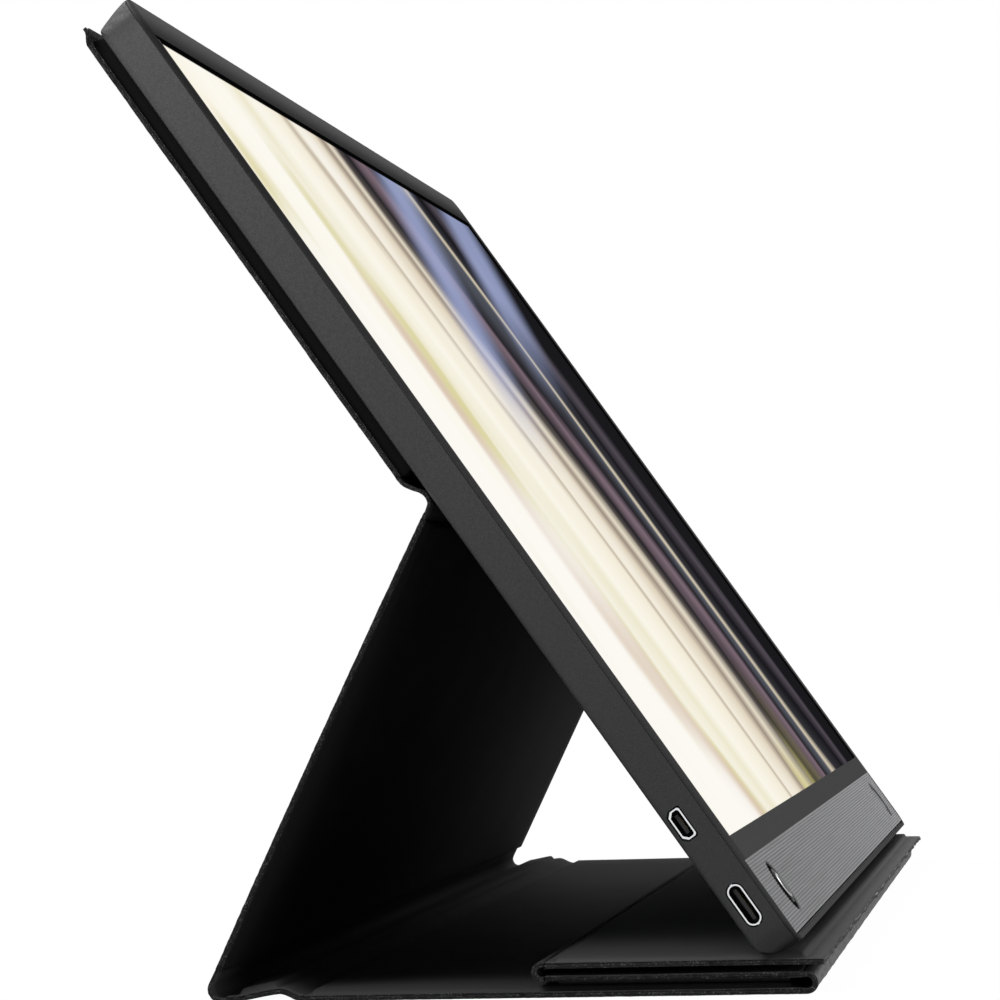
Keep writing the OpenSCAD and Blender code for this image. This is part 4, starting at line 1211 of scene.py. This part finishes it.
def fold_piece(name, path, thick, seed, pucker, lined_above=False, lean=None):
    """A bent cloth, skin on one face and lining on the other."""
    cols = columns(HALF_COVER, 2.5 * mm)
    s = np.linspace(0, 1, len(path))
    swell = pucker * waves(cols[None, :], 0 * s[:, None], seed, 9 * mm, 9)
    swell = swell * np.sin(math.pi * s)[:, None]
    if lean:
        swell = swell + lean(s[:, None], (cols / HALF_COVER + 1)[None, :] / 2)
    faces = [leather, cut, lining_finish]
    if lined_above:
        faces.reverse()
    made = sheet_piece(f"{name}_leather", path, cols, thick, faces, swell=swell, seed=seed,
                       underside=True)
    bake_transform(made)
    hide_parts(name)


def half_turn(name, side):
    """A fold that comes back over itself: side is -1 where it opens to the rear, 1 to the front."""
    low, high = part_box(name)
    inner_y, outer_y = (high.y, low.y) if side < 0 else (low.y, high.y)
    radius = (high.z - low.z - RIM) / 2
    mid_z = (low.z + high.z) / 2
    middle = np.array([outer_y - side * (radius + RIM / 2), mid_z])
    bend = arc(middle, radius, 270 if side < 0 else -90, 90)
    return np.array([[inner_y, mid_z - radius], *bend, [inner_y, mid_z + radius]])


def front_lean(s, far):
    """The front fold bulges at the near side and is drawn in at the far side."""
    return np.sin(math.pi * s) ** 2 * (0.5 * mm - 1.3 * mm * far)


front_path = half_turn("front_fold", -1)
fold_piece("front_fold", front_path, RIM, 31, 0.05 * mm, lean=front_lean)
rear_path = half_turn("rear_fold", 1)
fold_piece("rear_fold", rear_path, RIM, 32, 0.04 * mm)

# %% [markdown]
# The strut is joined at both its ends by single skins. At the foot the skin turns sharply round the
# spine's edge. Under the back panel it first dips in towards the display's back, and then runs out
# along the strut. Both routes are worked out from the fold's own line, which is a joint's place.

# %% Folds at the strut's two ends
DISPLAY_DEEP = 8.3 * mm
NEAREST = DISPLAY_DEEP + 0.2 * mm + SKIN_ROOM - SKIN / 2
# How far down the fold, and how far out from the display, the skin passes on its way to the strut.
DIP = (
    (0.0, 1.0), (0.06, 1.0), (0.23, 0.91), (0.34, 0.73), (0.45, 0.5), (0.55, 0.24),
    (0.66, 0.06), (0.76, 0.0), (0.86, 0.03), (0.94, 0.16), (1.0, 0.4), (1.06, 0.7),
)
joints = {joint["name"]: joint for joint in frame["joints"]}
foot_line, back_line = (
    np.array(joints[name]["pos_m"][1:]) for name in ("strut_swing", "back_swing")
)

strut = panels["strut"]
strut_angle = math.degrees(math.atan2(strut.run[1], strut.run[0]))
strut_first, strut_last = strut.path([end[0] for end in strut.skin], SKIN / 2)
foot_path = np.array([
    [foot_y, SKIN / 2],
    [foot_y + FOOT_RUN * 0.6, SKIN / 2],
    *arc(foot_line, foot_line[1] - SKIN / 2, 270, 270 + strut_angle, 20),
    strut_first,
])
fold_piece("foot_fold", foot_path, SKIN, 33, 0.03 * mm, lined_above=True)

lip, up_face, into_face = (np.array(v[1:]) for v in (LIP, UP_FACE, INTO_FACE))
back_start = panels["back"].path([0], 0)[0]
back_low_up = (back_start - lip) @ up_face
back_deep = (back_start - lip) @ into_face
fold_drop = back_low_up - (back_line - lip) @ up_face


def beside_display(drop, share):
    """A point some of the way down the drop, and some of the way out from the display."""
    deep = NEAREST + share * (back_deep - SKIN / 2 - NEAREST)
    return lip + up_face * (back_low_up - drop * fold_drop) + into_face * deep


def eased(points, per_gap=5):
    """A smooth route through points, by the Catmull-Rom rule."""
    ends = [2 * points[0] - points[1], *points, 2 * points[-1] - points[-2]]
    route = []
    for a, b, c, d in zip(ends, ends[1:], ends[2:], ends[3:]):
        for t in np.arange(per_gap) / per_gap:
            bent = (2 * a - 5 * b + 4 * c - d) * t**2 + (3 * b - a - 3 * c + d) * t**3
            route.append(b + ((c - a) * t + bent) / 2)
    return np.array([*route, points[-1]])


dip_points = [beside_display(drop, share) for drop, share in DIP]
landing = strut_last + strut.run * 0.9 * mm
back_path = eased([*dip_points, landing, strut_last])
fold_piece("back_fold", back_path, SKIN, 34, 0.05 * mm)

# %% Print the solids' box
print("solid box", [round(c / mm, 1) for c in (*solid_box[0], *solid_box[1])])
